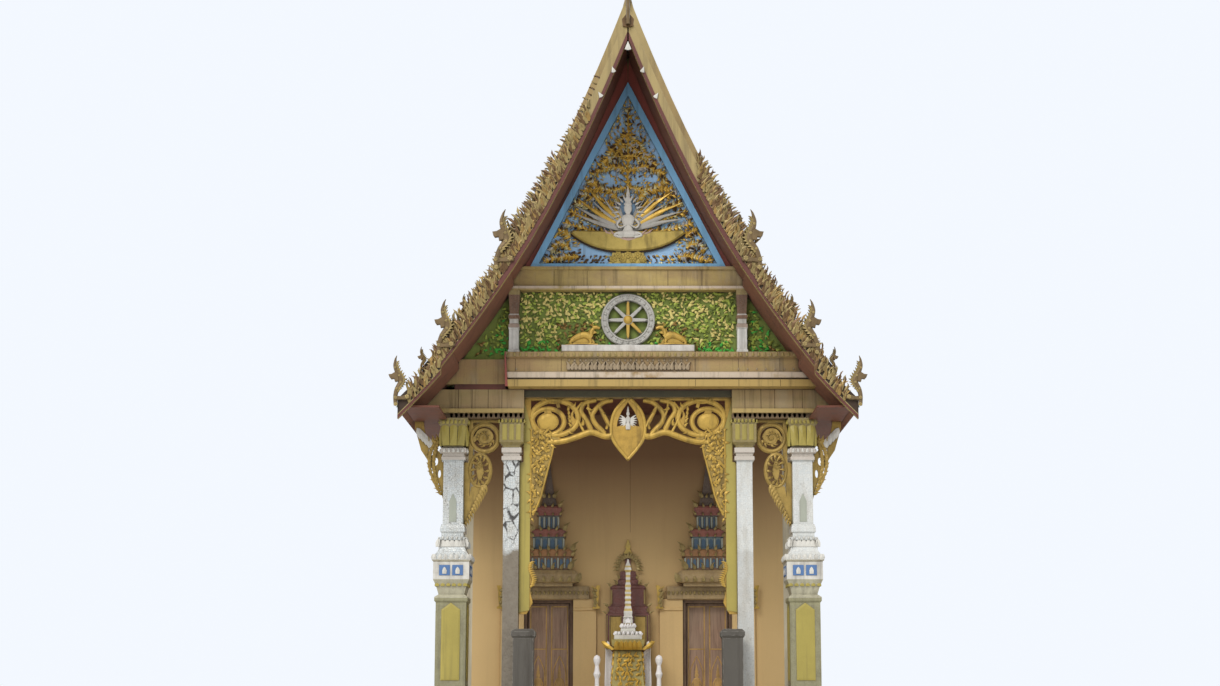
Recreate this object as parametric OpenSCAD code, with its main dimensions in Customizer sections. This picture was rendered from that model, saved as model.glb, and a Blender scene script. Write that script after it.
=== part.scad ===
// Thai temple hall with a porch at each end, tiered roofs and gilded gables.
// Millimetres, +Z up, ground at z = 0, the front with the doors faces -Y.
// The origin is the centre of the building on the ground.

/* [Plan] */
// Half the length between the two rows of porch columns
column_y = 8000; // [7800:10:8300]
// Depth of each porch, from the column line to the face of the hall wall
porch_depth = 3000; // [2800:10:3100]
// Distance from the centre line to the inner columns
inner_x = 2530; // [2480:5:2570]
// Distance from the centre line to the outer columns and the side walls
outer_x = 3785; // [3730:5:3840]
// Thickness of the masonry walls
wall = 300; // [260:5:320]

/* [Base and stair] */
// Height of the floor above the ground
floor_z = 1300; // [1200:10:1400]
// How far the base runs out past the columns
base_margin = 900; // [850:10:950]
// Number of risers in the front stair
risers = 8; // [7:1:9]
// Depth of one tread
tread = 300; // [280:5:320]
// Half the width of the front stair
stair_half = 1930; // [1830:10:1950]
// Width of the stair cheek walls and posts
cheek_w = 550; // [500:10:560]
// Height of the stair posts above the floor
post_h = 1870; // [1700:10:1950]

/* [Doors] */
// Distance from the centre line to the middle of each doorway
door_x = 1850; // [1830:5:1880]
// Width of the doorway in the wall
door_w = 1150; // [1100:10:1180]
// Height of the doorway above the floor
door_h = 2710; // [2600:10:2750]
// Thickness of the door frame boards
frame_t = 70; // [60:5:80]
// Thickness of a door leaf
leaf_t = 60; // [50:2:70]
// Running clearance round each door leaf
leaf_gap = 5; // [5:1:8]
// Height of the door crown above the doorway
crown_h = 3290; // [3100:10:3320]

/* [Windows] */
// Number of windows in each side wall
windows = 4; // [3:1:4]
// Width of a window
window_w = 1050; // [950:10:1100]
// Height of a window
window_h = 2100; // [1900:10:2200]
// Height of the window sill above the floor
sill_h = 1200; // [1100:10:1300]

/* [Columns] */
// Width of an inner column's shaft
inner_w = 340; // [310:5:360]
// Width of an outer column's shaft
outer_w = 430; // [410:5:450]
// Height of the tall pedestals under the outer columns
pedestal_h = 3370; // [3250:10:3450]
// Height of the underside of the porch beams above the ground
beam_z = 7760; // [7700:5:7800]
// Height of a capital
capital_h = 630; // [600:10:660]

/* [Porch front] */
// Height of the lower beams
beam_h = 640; // [620:5:660]
// Thickness of the beams and gable walls, front to back
beam_t = 440; // [420:5:460]
// Height of the cornice over the middle bay
cornice_h = 770; // [750:5:780]
// How far the cornice stands out from the beams
cornice_out = 330; // [300:5:340]
// Height of the green panel over the cornice
panel_h = 1430; // [1390:5:1460]
// Gap between the pediment's foot and the roof's underside
pediment_gap = 150; // [110:5:190]
// How far the pediment's tip lies below the ridge
pediment_drop = 770; // [720:5:820]
// Height of the recessed beam over the pierced arch
recess_h = 150; // [120:5:200]
// Height of the collar beam under the pediment
collar_h = 540; // [520:5:570]
// Half the width of the collar beam
collar_half = 2600; // [2450:5:2650]
// Thickness of the pierced and gilded boards
carving_t = 90; // [70:5:110]

/* [Roofs] */
// Height of the porch roof's ridge
porch_ridge_z = 16210; // [16100:10:16300]
// Height of the main roof's ridge
main_ridge_z = 17600; // [17500:10:17700]
// How far the porch roof stands out past the columns
overhang = 1830; // [1700:10:1900]
// How far the main roof's gable lies behind the porch roof's gable
gable_setback = 2230; // [2100:10:2300]
// Half the width of the porch roof's upper tier
porch_run_1 = 2720; // [2680:5:2760]
// Half the width of the porch roof down to the middle tier's eave
porch_run_2 = 3900; // [3860:5:3940]
// Half the width of the porch roof down to the lower tier's eave
porch_run_3 = 4780; // [4740:5:4820]
// Half the width of the main roof's upper tier
main_run_1 = 2600; // [2560:5:2640]
// Half the width of the main roof down to the middle tier's eave
main_run_2 = 3700; // [3660:5:3740]
// Half the width of the main roof down to the lower tier's eave
main_run_3 = 4560; // [4520:5:4600]
// Height of the eave of the porch roof's upper tier
porch_eave_1 = 10690; // [10640:5:10740]
// Height of the eave of the porch roof's middle tier
porch_eave_2 = 8870; // [8820:5:8920]
// Height of the eave of the porch roof's lower tier
porch_eave_3 = 7770; // [7740:5:7800]
// Height of the eave of the main roof's upper tier
main_eave_1 = 11900; // [11850:5:11950]
// Height of the eave of the main roof's middle tier
main_eave_2 = 10150; // [10100:5:10200]
// Height of the eave of the main roof's lower tier
main_eave_3 = 8900; // [8860:5:8950]
// How far the porch roof's upper tier sags below a straight line
porch_sag = 390; // [330:5:410]
// How far the main roof's upper tier sags below a straight line
main_sag = 330; // [280:5:350]
// Height of a bargeboard on an upper tier
board_deep_1 = 600; // [540:5:640]
// Height of a bargeboard on the tiers under it
board_deep_2 = 420; // [380:5:450]
// Thickness of the bargeboards, front to back
board_t = 120; // [100:5:130]
// How far a bargeboard stands up past the roof
board_rise = 110; // [90:5:130]
// Distance between the blades along a bargeboard
blade_pitch = 173; // [165:1:190]
// Length of the longest blades
blade_l = 330; // [280:5:350]

/* [Hidden] */

// Seats between pieces that lie against each other
seat = 0.3;

// The levels of the porch front
wall_y = column_y - porch_depth;
beam_top = beam_z + beam_h;
cornice_low = beam_top + 10;
cornice_top = cornice_low + cornice_h;
panel_top = cornice_top + panel_h;
collar_top = panel_top + collar_h;
front_y = column_y + overhang;
main_y = front_y - gable_setback;
gable_inset = 400;

// Tiers of the roofs: start x and z, end x and z, sag, thickness, number of flats
tuck = 200;
lap = 10;
thick_1 = 150;
thick_2 = 120;
ridge_gap = 15;
function tier_z(t, x) =
    let (u = (x - t[0]) / (t[2] - t[0])) t[1] + (t[3] - t[1]) * u - 4 * t[4] * u * (1 - u);
function tier_line(t, a, b, lift) =
    [for (i = [0:t[6]]) let (x = a + (b - a) * i / t[6]) [x, tier_z(t, x) + lift]];
function under(upper, x_end, z_end, sag, n) =
    let (x = upper[2] - tuck, z = upper[3] - upper[5] - lap, slope = (z - z_end) / (x_end - upper[2]))
    [x, min(z + slope * tuck, tier_z(upper, x) - upper[5] - lap), x_end, z_end, sag, thick_2, n];
function flip(points) = [for (i = [len(points) - 1:-1:0]) points[i]];
porch_1 = [0, porch_ridge_z, porch_run_1, porch_eave_1, porch_sag, thick_1, 8];
porch_2 = under(porch_1, porch_run_2, porch_eave_2, 40, 3);
porch_3 = under(porch_2, porch_run_3, porch_eave_3, 30, 3);
porch_tiers = [porch_1, porch_2, porch_3];
main_1 = [0, main_ridge_z, main_run_1, main_eave_1, main_sag, thick_1, 8];
main_2 = under(main_1, main_run_2, main_eave_2, 40, 3);
main_3 = under(main_2, main_run_3, main_eave_3, 30, 3);

// The underside of a tier between two distances from the centre line, on the slab's own flats
function slab_x(t) = t[0] == 0 ? ridge_gap : t[0];
function underside(t, a, b) = let (line = tier_line(t, slab_x(t), t[2], -t[5] - seat))
    concat([[a, lookup(a, line)]], [for (p = line) if (p[0] > a + 1 && p[0] < b - 1) p], [[b, lookup(b, line)]]);

// Extrusions along the building and across it
module along_y(y0, y1) translate([0, y1, 0]) rotate([90, 0, 0]) linear_extrude(y1 - y0) children();
module along_x(x0, x1) translate([x0, 0, 0]) rotate([90, 0, 90]) linear_extrude(x1 - x0) children();
module both_sides() {
    children();
    mirror([1, 0, 0]) children();
}
module both_ends() {
    children();
    mirror([0, 1, 0]) children();
}
module box(low, high) translate(low) cube(high - low);

// A square post whose half width follows a list of [half width, z]
module square_post(x, y, profile) {
    reach = max([for (p = profile) p[0]]) + 10;
    outline = concat(profile, [for (p = flip(profile)) [-p[0], p[1]]]);
    translate([x, y, 0]) intersection() {
        along_y(-reach, reach) polygon(outline);
        along_x(-reach, reach) polygon(outline);
    }
}

// Base and stair
base_x = outer_x + base_margin;
base_y = column_y + base_margin;
stair_run = (risers - 1) * tread;

module base_platform() color("#b9b2a4") {
    foot = 250;
    waist = 140;
    box([-base_x, -base_y, 0], [base_x, base_y, foot]);
    box([-base_x + waist, -base_y + waist, foot], [base_x - waist, base_y - waist, floor_z - 220]);
    box([-base_x, -base_y, floor_z - 220], [base_x, base_y, floor_z]);
}

module front_stair() color("#a79f90") {
    rise = floor_z / risers;
    outline = concat([[-base_y - seat, 0]],
        [for (i = [1:risers - 1]) each [[-base_y - seat - (risers - i) * tread, (i - 1) * rise],
            [-base_y - seat - (risers - i) * tread, i * rise]]],
        [[-base_y - seat, (risers - 1) * rise]]);
    along_x(-stair_half + seat, stair_half - seat) polygon(outline);
}

module stair_cheeks() color("#c9c3b6") both_sides() {
    top = floor_z + 250;
    along_x(stair_half, stair_half + cheek_w) polygon([
        [-base_y - seat, 0], [-base_y - seat - stair_run - 200, 0],
        [-base_y - seat - stair_run - 200, 450], [-base_y - seat - cheek_w, top], [-base_y - seat, top]]);
}

module stair_posts() color("#8a857a") both_sides() {
    half = cheek_w / 2 - 20;
    top = floor_z + post_h;
    square_post(stair_half + cheek_w / 2, -base_y + cheek_w / 2 + 20, [[half, floor_z + seat],
        [half, floor_z + 120], [half - 40, floor_z + 160], [half - 40, top - 200],
        [half, top - 140], [half, top - 60], [half - 60, top]]);
}

// Walls of the hall
wall_out = outer_x + wall / 2;
wall_top = tier_z(main_3, wall_out) - thick_2 - seat - 20;
ceiling_z = beam_top;
ceiling_t = 120;
door_top = floor_z + door_h;

module front_wall_pier(x0, x1) color("#b99a72") box([x0, -wall_y, floor_z + seat], [x1, -wall_y + wall, door_top]);
module front_wall_left() front_wall_pier(-wall_out + wall + seat, -door_x - door_w / 2);
module front_wall_middle() front_wall_pier(-door_x + door_w / 2, door_x - door_w / 2);
module front_wall_right() front_wall_pier(door_x + door_w / 2, wall_out - wall - seat);
module front_wall_top() color("#b08e68")
    box([-wall_out + wall + seat, -wall_y, door_top + seat], [wall_out - wall - seat, -wall_y + wall, ceiling_z - seat]);
module rear_wall() color("#b99a72")
    box([-wall_out + wall + seat, wall_y - wall, floor_z + seat], [wall_out - wall - seat, wall_y, ceiling_z - seat]);

window_pitch = 2 * wall_y / windows;
function window_y(i) = -wall_y + window_pitch * (i + 0.5);

module side_walls() color("#d8cdb4") both_sides() difference() {
    box([wall_out - wall, -wall_y, floor_z + seat], [wall_out, wall_y, wall_top]);
    for (i = [0:windows - 1])
        box([wall_out - wall - 1, window_y(i) - window_w / 2, floor_z + sill_h],
            [wall_out + 1, window_y(i) + window_w / 2, floor_z + sill_h + window_h]);
}

module window_shutters() color("#7a4a2c") both_sides() for (i = [0:windows - 1], side = [-1, 1]) {
    leaf = window_w / 2 - frame_t - 4;
    translate([wall_out - wall / 2, window_y(i) + side * (2 + leaf / 2), floor_z + sill_h + frame_t + seat])
        translate([-25, -leaf / 2, 0]) cube([50, leaf, window_h - 2 * frame_t - 2 * seat]);
}

module window_frames() color("#c99a35") both_sides() for (i = [0:windows - 1]) translate([0, window_y(i), 0]) {
    low = floor_z + sill_h;
    high = low + window_h;
    half = window_w / 2;
    difference() {
        box([wall_out - wall + 20, -half + seat, low + seat], [wall_out - 20, half - seat, high - seat]);
        box([wall_out - wall - 1, -half + frame_t, low + frame_t], [wall_out + 1, half - frame_t, high - frame_t]);
    }
    along_x(wall_out + seat, wall_out + 90) difference() {
        union() {
            polygon([[-half - 130, low - 260], [half + 130, low - 260], [half + 130, high + 60],
                [half * 0.62, high + 420], [half * 0.3, high + 760], [0, high + 1500],
                [-half * 0.3, high + 760], [-half * 0.62, high + 420], [-half - 130, high + 60]]);
        }
        polygon([[-half + 10, low + 10], [half - 10, low + 10], [half - 10, high - 10], [-half + 10, high - 10]]);
    }
}

module ceilings() color("#6d5138") {
    box([-wall_out + wall + seat, -wall_y, ceiling_z], [wall_out - wall - seat, wall_y, ceiling_z + ceiling_t]);
    both_ends() box([-outer_x, -column_y - beam_t / 2, ceiling_z + seat],
        [outer_x, -wall_y - seat, ceiling_z + ceiling_t]);
}

// Columns
inner_collar = 45;
inner_cap = 90;
module inner_columns() color("#c8c4ba") both_ends() both_sides() {
    half = inner_w / 2;
    top = beam_z - seat;
    cap = top - capital_h;
    square_post(inner_x, -column_y, [[half + 110, floor_z + seat], [half + 110, floor_z + 200],
        [half + 40, floor_z + 260], [half + 40, floor_z + 420], [half, floor_z + 470], [half, cap - 300],
        [half + inner_collar, cap - 280], [half + inner_collar, cap - 200], [half + 10, cap - 185],
        [half + 10, cap - 130], [half + inner_collar, cap - 115], [half + inner_collar, cap - 15],
        [half + 15, cap], [half + 20, cap + 40], [half + inner_cap, cap + 110],
        [half + inner_cap, top - 90], [half + 60, top - 70], [half + 60, top]]);
}

outer_collar = 60;
outer_cap = 95;
bell_h = 785;
module outer_columns() color("#e4e1d6") both_ends() both_sides() {
    half = outer_w / 2;
    low = floor_z + pedestal_h + seat;
    top = beam_z - seat;
    cap = top - capital_h;
    square_post(outer_x, -column_y, [[half + 195, low], [half + 190, low + 55], [half + 150, low + 100],
        [half + 90, low + 190], [half + 50, low + 300], [half + 25, low + 420], [half + 60, low + 435],
        [half + 60, low + 490], [half + 20, low + 505], [half + 20, low + 590], [half + 50, low + 610],
        [half + 45, low + 700], [half + 25, low + 770], [half, low + bell_h], [half, cap - 300],
        [half + 45, cap - 285], [half + 45, cap - 220], [half + 15, cap - 200], [half + 15, cap - 145],
        [half + outer_collar, cap - 125], [half + outer_collar, cap - 30], [half + 5, cap],
        [half + 30, cap + 280], [half + 55, cap + 440], [half + outer_cap, top - 90], [half + outer_cap, top]]);
}

module column_pedestals() color("#d9d7cf") both_ends() both_sides() {
    half = outer_w / 2 + 170;
    low = floor_z + seat;
    top = floor_z + pedestal_h;
    square_post(outer_x, -column_y, [[half + 140, low], [half + 140, low + 260], [half + 90, low + 300],
        [half + 90, low + 420], [half - 20, low + 560], [half - 60, low + 640], [half - 60, top - 920],
        [half - 30, top - 880], [half - 30, top - 800], [half - 110, top - 740], [half - 60, top - 560],
        [half, top - 430], [half, top - 40], [half + 25, top - 25], [half + 25, top]]);
}

// Beams, cornice and gable wall of a porch
eave_x = edge_x(porch_tiers, beam_z - seat);
soffit_t = 40;
module under_eave(low, high) intersection() {
    start = inner_x - inner_w / 2 - inner_cap;
    gable_outline(porch_tiers, low);
    translate([start, low]) square([eave_x - 60 - start, high - low]);
}
module lower_beams() color("#9c8358") both_ends() {
    face = column_y + beam_t / 2;
    both_sides() {
        along_y(-face, -face + beam_t) under_eave(beam_z, beam_top);
        along_y(-face - 60, -face) under_eave(beam_z + 120, beam_z + 210);
        box([wall_out - beam_t + 60, -face + beam_t + seat, beam_z], [wall_out - seat, -wall_y - seat, beam_top]);
    }
    box([-inner_x + inner_w / 2 + inner_cap + seat, -face + 100, beam_top - recess_h],
        [inner_x - inner_w / 2 - inner_cap - seat, -face + beam_t - 100, beam_top]);
}

// A soffit board from the beams out to the roof, cut round the heads of the outer columns
module eave_soffits() color("#5f3324") both_ends() both_sides() difference() {
    head = outer_w / 2 + outer_cap + seat;
    box([wall_out + seat, -front_y, beam_z - seat - soffit_t], [eave_x, -wall_y - seat, beam_z - seat]);
    box([outer_x - head, -column_y - head, beam_z - seat - soffit_t - 1], [outer_x + head, -column_y + head, beam_z]);
}

cornice_face = column_y + beam_t / 2;
cornice_left = inner_x + 130;
module cornices() color("#a8853f") both_ends() {
    low = cornice_low;
    front = -cornice_face - cornice_out;
    deep = -gable_face - seat;
    shelf = beam_top + ceiling_t + seat;
    intersection() {
        along_y(front, deep) gable_outline(porch_tiers, beam_top);
        along_x(-cornice_left, outer_x + 460) polygon([[deep, shelf], [deep, cornice_top],
            [front + 30, cornice_top], [front + 30, cornice_top - 110], [front + 110, cornice_top - 135],
            [front + 110, low + 345], [front + 40, low + 320], [front + 40, low + 200],
            [front + 70, low + 185], [front + 70, low + 165], [front, low + 150], [front, low],
            [-cornice_face - seat, low], [-cornice_face - seat, shelf]]);
    }
    intersection() {
        along_y(-cornice_face, deep) gable_outline(porch_tiers, beam_top);
        box([-outer_x - 300, -cornice_face, shelf], [-cornice_left - seat, deep, cornice_top - 110]);
    }
}

// The gable walls close the roof ends under the tiers
function stepped_edge(tiers) = concat(
    underside(tiers[0], 0, tiers[1][0] - seat),
    underside(tiers[1], tiers[1][0] - seat, tiers[2][0] - seat),
    underside(tiers[2], tiers[2][0] - seat, tiers[2][2]));
function edge_x(tiers, z) = max([for (p = cut_off(stepped_edge(tiers), z)) p[0]]);
function cut_off(points, low) = concat([for (p = points) if (p[1] > low) p],
    [for (i = [0:len(points) - 2]) if (points[i][1] > low && points[i + 1][1] <= low)
        points[i] + (points[i + 1] - points[i]) * (points[i][1] - low) / (points[i][1] - points[i + 1][1])]);
module gable_outline(tiers, low) {
    right = cut_off(stepped_edge(tiers), low);
    polygon(concat(right, [for (p = flip(right)) if (p[0] > 0) [-p[0], p[1]]]));
}

gable_t = 200;
gable_face = column_y + 60;
module porch_gable_walls() color("#5d7a33") both_ends()
    along_y(-gable_face, -gable_face + gable_t)
        gable_outline(porch_tiers, ceiling_z + ceiling_t + seat);

module main_gable_walls() color("#7d6a48") both_ends()
    along_y(-main_y + gable_inset, -main_y + gable_inset + gable_t)
        gable_outline([main_1, main_2, main_3], ceiling_z + ceiling_t + seat);

module collar_beams() color("#a08b52") both_ends() intersection() {
    along_y(-gable_face - 260, -gable_face) gable_outline(porch_tiers, beam_top);
    along_x(-collar_half, collar_half) polygon([[-gable_face - seat, panel_top], [-gable_face - 250, panel_top],
        [-gable_face - 250, panel_top + 90], [-gable_face - 170, panel_top + 110],
        [-gable_face - 170, collar_top - 80], [-gable_face - 210, collar_top - 60],
        [-gable_face - 210, collar_top], [-gable_face - seat, collar_top]]);
}

pilaster_half = 125;
module gable_pilasters() color("#e6e2d8") both_ends() intersection() {
    both_sides() square_post(collar_half - 100, -gable_face - seat - pilaster_half, [[pilaster_half, cornice_top + seat],
        [pilaster_half, cornice_top + 80], [105, cornice_top + 110], [105, cornice_top + 560],
        [120, cornice_top + 580], [120, cornice_top + 660], [95, cornice_top + 680], [95, cornice_top + 780],
        [120, cornice_top + 800], [120, cornice_top + 860], [95, cornice_top + 900], [120, panel_top - 120],
        [120, panel_top - seat]]);
    along_y(-gable_face - pilaster_half * 3, -gable_face) gable_outline(porch_tiers, beam_top);
}

// Pediment: a triangle over the collar beam, edged by a frame
pediment_half = edge_x(porch_tiers, collar_top) - pediment_gap;
pediment_rise = porch_ridge_z - pediment_drop - collar_top;
module pediment_outline(inset) {
    run = pediment_half / pediment_rise;
    low = collar_top + seat + inset * 0.7;
    tip = collar_top + pediment_rise - inset / sin(atan(run));
    half = (tip - low) * run;
    polygon([[-half, low], [half, low], [0, tip]]);
}

frame_w = 140;
module pediment_frames() color("#3f8fd0") both_ends()
    along_y(-gable_face - 90, -gable_face - seat) difference() {
        pediment_outline(0);
        pediment_outline(frame_w);
    }

// A crescent on a foot, a small seated figure with a pointed crown over it, and leaves at its sides
module pediment_relief() color("#c8a032") both_ends() {
    low = collar_top + seat + frame_w * 0.7 + 5;
    reach = pediment_half * 0.58;
    along_y(-gable_face - 110, -gable_face - seat) {
        polygon(concat([for (i = [0:16]) let (u = -1 + i / 8) [u * reach, low + 60 + 400 * pow(abs(u), 3.2)]],
            [for (i = [16:-1:0]) let (u = -1 + i / 8) [u * reach, low + 500 + 30 * u * u]]));
        polygon([[-350, low], [350, low], [300, low + 60], [330, low + 110], [-330, low + 110], [-300, low + 60]]);
        polygon([[-280, low + 420], [280, low + 420], [330, low + 520], [260, low + 600], [130, low + 640],
            [210, low + 800], [180, low + 960], [90, low + 1010], [110, low + 1120], [60, low + 1230],
            [40, low + 1400], [0, low + 1640], [-40, low + 1400], [-60, low + 1230], [-110, low + 1120],
            [-90, low + 1010], [-180, low + 960], [-210, low + 800], [-130, low + 640], [-260, low + 600],
            [-330, low + 520]]);
    }
    for (i = [0, 1]) mirror([i, 0, 0]) along_y(-gable_face - 70, -gable_face - seat)
        polygon(band(smooth([[400, low + 780], [520, low + 1150], [380, low + 1500], [180, low + 1900],
            [90, low + 2300], [0, low + 2900]], 3), 150, 50));
}

// The wheel between two deer, on its shelf
wheel_z = cornice_top + 785;
wheel_r = 590;
module wheel() color("#cfcdc4") both_ends() translate([0, -gable_face - seat, wheel_z]) rotate([90, 0, 0]) {
    difference() {
        cylinder(r = wheel_r, h = 110, $fn = 64);
        translate([0, 0, -1]) cylinder(r = wheel_r - 150, h = 112, $fn = 64);
    }
    cylinder(r = 110, h = 130, $fn = 48);
    for (i = [0:7]) rotate([0, 0, i * 45]) translate([90, -27, 20]) cube([wheel_r - 220, 54, 60]);
}

module deer_pair() color("#c8982a") both_ends() both_sides() {
    low = wheel_z - wheel_r + seat;
    along_y(-gable_face - 130, -gable_face - seat) translate([930, low]) polygon([[-190, 0], [240, 0], [290, 90],
        [250, 200], [90, 220], [-20, 245], [-70, 340], [-90, 400], [-130, 360], [-190, 345], [-250, 305],
        [-160, 270], [-130, 190], [-200, 90]]);
}

module wheel_shelf() color("#dedad2") both_ends() {
    half = collar_half - 1150;
    box([-half, -gable_face - 260, cornice_top + 10], [half, -gable_face - seat, wheel_z - wheel_r - seat]);
}

// Roof slabs
module slab(t, y0, y1, x0) along_y(y0, y1)
    polygon(concat(tier_line(t, x0, t[2], 0), flip(tier_line(t, x0, t[2], -t[5]))));
module porch_slab(t, x0) both_ends() both_sides() slab(t, -front_y, -main_y + gable_inset - seat, x0);
module main_slab(t, x0) both_sides() slab(t, -main_y, main_y, x0);
module porch_roof_upper() color("#a5512c") porch_slab(porch_1, ridge_gap);
module porch_roof_middle() color("#a5512c") porch_slab(porch_2, porch_2[0]);
module porch_roof_lower() color("#a5512c") {
    porch_slab(porch_3, porch_3[0]);
    both_ends() both_sides() intersection() {
        slab(porch_3, -main_y, -wall_y - seat, porch_3[0]);
        box([wall_out + seat, -main_y, 0], [porch_run_3 + 1, -wall_y, porch_ridge_z]);
    }
}
module main_roof_upper() color("#9c4a28") main_slab(main_1, ridge_gap);
module main_roof_middle() color("#9c4a28") main_slab(main_2, main_2[0]);
module main_roof_lower() color("#9c4a28") main_slab(main_3, main_3[0]);

module ridge_cap(t, y0, y1) along_y(y0, y1) {
    reach = 190;
    first = tier_line(t, ridge_gap, t[2], 0);
    slope = (first[0][1] - first[1][1]) / (first[1][0] - first[0][0]);
    top = first[0][1] + slope * ridge_gap + seat * 2;
    low = top - slope * reach;
    polygon([[0, top + 150], [70, top + 60], [reach, low + 60], [reach, low], [0, top], [-reach, low],
        [-reach, low + 60], [-70, top + 60]]);
}
module ridge_caps() color("#8d4526") {
    both_ends() ridge_cap(porch_1, -front_y, -main_y + gable_inset - seat);
    ridge_cap(main_1, -main_y, main_y);
}

// Bargeboards stand in front of the slabs and rise a little past them
function board_edges(tiers) = [tier_line(tiers[0], ridge_gap, tiers[0][2], board_rise),
    tier_line(tiers[1], tiers[0][2] + seat, tiers[1][2], board_rise),
    tier_line(tiers[2], tiers[1][2] + seat, tiers[2][2], board_rise)];
porch_edges = board_edges([porch_1, porch_2, porch_3]);
main_edges = board_edges([main_1, main_2, main_3]);
module boards(edges, y) along_y(-y - board_t, -y - seat) for (i = [0:2])
    polygon(concat(edges[i],
        [for (p = flip(edges[i])) p - [0, i == 0 ? board_deep_1 : board_deep_2]]));
module porch_bargeboards() color("#c9a24a") both_ends() both_sides() boards(porch_edges, front_y);
module main_bargeboards() color("#c9a24a") both_ends() both_sides() boards(main_edges, main_y);

// One blade in the frame of the slope: u runs down it and v stands off it
function blade(w, l) = [[-w / 2, 0], [w / 2, 0], [w * 0.58, l * 0.25], [w * 0.42, l * 0.5], [w * 0.05, l * 0.72],
    [-l * 0.34, l], [-w * 0.3, l * 0.66], [-w * 0.42, l * 0.45], [-w * 0.55, l * 0.22]];
module blades(edge, y, from_x, to_x, first) along_y(-y - board_t * 0.75, -y - board_t * 0.25) {
    run = [to_x - from_x, lookup(to_x, edge) - lookup(from_x, edge)];
    count = floor(norm(run) / blade_pitch);
    half = blade_pitch * 0.31 * run[0] / norm(run);
    for (i = [0:count - 1]) {
        x = from_x + run[0] * (i + 0.5) / count;
        foot = [x - half, lookup(x - half, edge)];
        step = [x + half, lookup(x + half, edge)] - foot;
        translate(foot + step / 2 + [0, seat]) rotate(atan2(step[1], step[0]))
            polygon(blade(norm(step), first + (blade_l - first) * (i + 1) / count));
    }
}
module porch_blades() color("#d3ab3f") both_ends() {
    mirror([1, 0, 0]) blades(porch_edges[0], front_y, porch_run_1 * 0.35, porch_run_1 - 120, 110);
    blades(porch_edges[0], front_y, porch_run_1 * 0.58, porch_run_1 - 120, 130);
    both_sides() {
        blades(porch_edges[1], front_y, porch_run_1 + 150, porch_run_2 - 110, 240);
        blades(porch_edges[2], front_y, porch_run_2 + 150, porch_run_3 - 110, 280);
    }
}
module main_blades() color("#d3ab3f") both_ends() both_sides() {
    blades(main_edges[0], main_y, main_run_1 * 0.65, main_run_1 - 120, 130);
    blades(main_edges[1], main_y, main_run_1 + 150, main_run_2 - 110, 200);
    blades(main_edges[2], main_y, main_run_2 + 150, main_run_3 - 110, 220);
}

// A finial is a tapered band round a smooth line through a few points
function smooth(p, k) = [for (i = [0:len(p) - 2], j = [0:k - 1])
    let (u = j / k, a = p[max(i - 1, 0)], b = p[i], c = p[i + 1], d = p[min(i + 2, len(p) - 1)])
    (2 * b + (c - a) * u + (2 * a - 5 * b + 4 * c - d) * u * u + (3 * b - a - 3 * c + d) * u * u * u) / 2];
function side_of(p, i, w) =
    let (d = p[min(i + 1, len(p) - 1)] - p[max(i - 1, 0)], n = [-d[1], d[0]] / norm(d)) p[i] + n * w;
function band(p, w0, w1) = concat(
    [for (i = [0:len(p) - 1]) side_of(p, i, (w0 + (w1 - w0) * i / (len(p) - 1)) / 2)],
    [for (i = [len(p) - 1:-1:0]) side_of(p, i, -(w0 + (w1 - w0) * i / (len(p) - 1)) / 2)]);

// An eave finial on the face of a board's end: a neck that bends to the roof and back, a horn, a beak and a link.
// The neck is a list of x, z and width from the end of the tier
finial_neck = [[35, -40, 80], [42, 60, 88], [42, 180, 92], [10, 310, 105], [-50, 400, 130], [-80, 490, 145],
    [-40, 590, 130], [25, 700, 105], [58, 800, 88], [62, 870, 62], [52, 950, 38], [28, 1011, 10]];
finial_beak = [[-30, 470], [55, 455], [77, 521], [136, 511], [168, 548], [195, 613], [126, 622], [60, 665],
    [-10, 640]];
finial_link = [[50, 60], [-71, 80], [-160, 75], [-268, 100], [-252, 198], [-170, 180], [-71, 150], [50, 165]];
function leaned(points, lean, s) = [for (p = points)
    concat([p[0] - lean * max(p[1], 0), p[1]], len(p) > 2 ? [p[2]] : []) * s];
function swept(p) = let (line = [for (q = p) [q[0], q[1]]]) concat(
    [for (i = [0:len(p) - 1]) side_of(line, i, p[i][2] / 2)],
    [for (i = [len(p) - 1:-1:0]) side_of(line, i, -p[i][2] / 2)]);
finial_t = 80;
module eave_finial(t, y, s, lean) along_y(-y - board_t - finial_t, -y - board_t - seat) translate([t[2], t[3]]) {
    polygon(swept(smooth(leaned(finial_neck, lean, s), 2)));
    polygon(leaned(finial_beak, lean, s));
    polygon(leaned(finial_link, 0, s));
}
module eave_finials() color("#caa03c") both_ends() both_sides() {
    eave_finial(porch_1, front_y, 1.04, 0.22);
    eave_finial(porch_2, front_y, 1.02, 0.15);
    eave_finial(porch_3, front_y, 1, 0);
    eave_finial(main_1, main_y, 0.85, 0.22);
    eave_finial(main_2, main_y, 0.85, 0.15);
    eave_finial(main_3, main_y, 0.85, 0);
}

module ridge_finial(t, y) along_x(-45, 45) translate([-y - board_t - seat, t[1]])
    polygon(band(smooth([[-74.5, -200], [-100, 60], [-30, 330], [-90, 640], [-290, 850], [-190, 1150], [-80, 1700]], 3),
        150, 16));
module ridge_finials() color("#7b5a34") both_ends() {
    ridge_finial(porch_1, front_y);
    ridge_finial(main_1, main_y);
}

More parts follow.
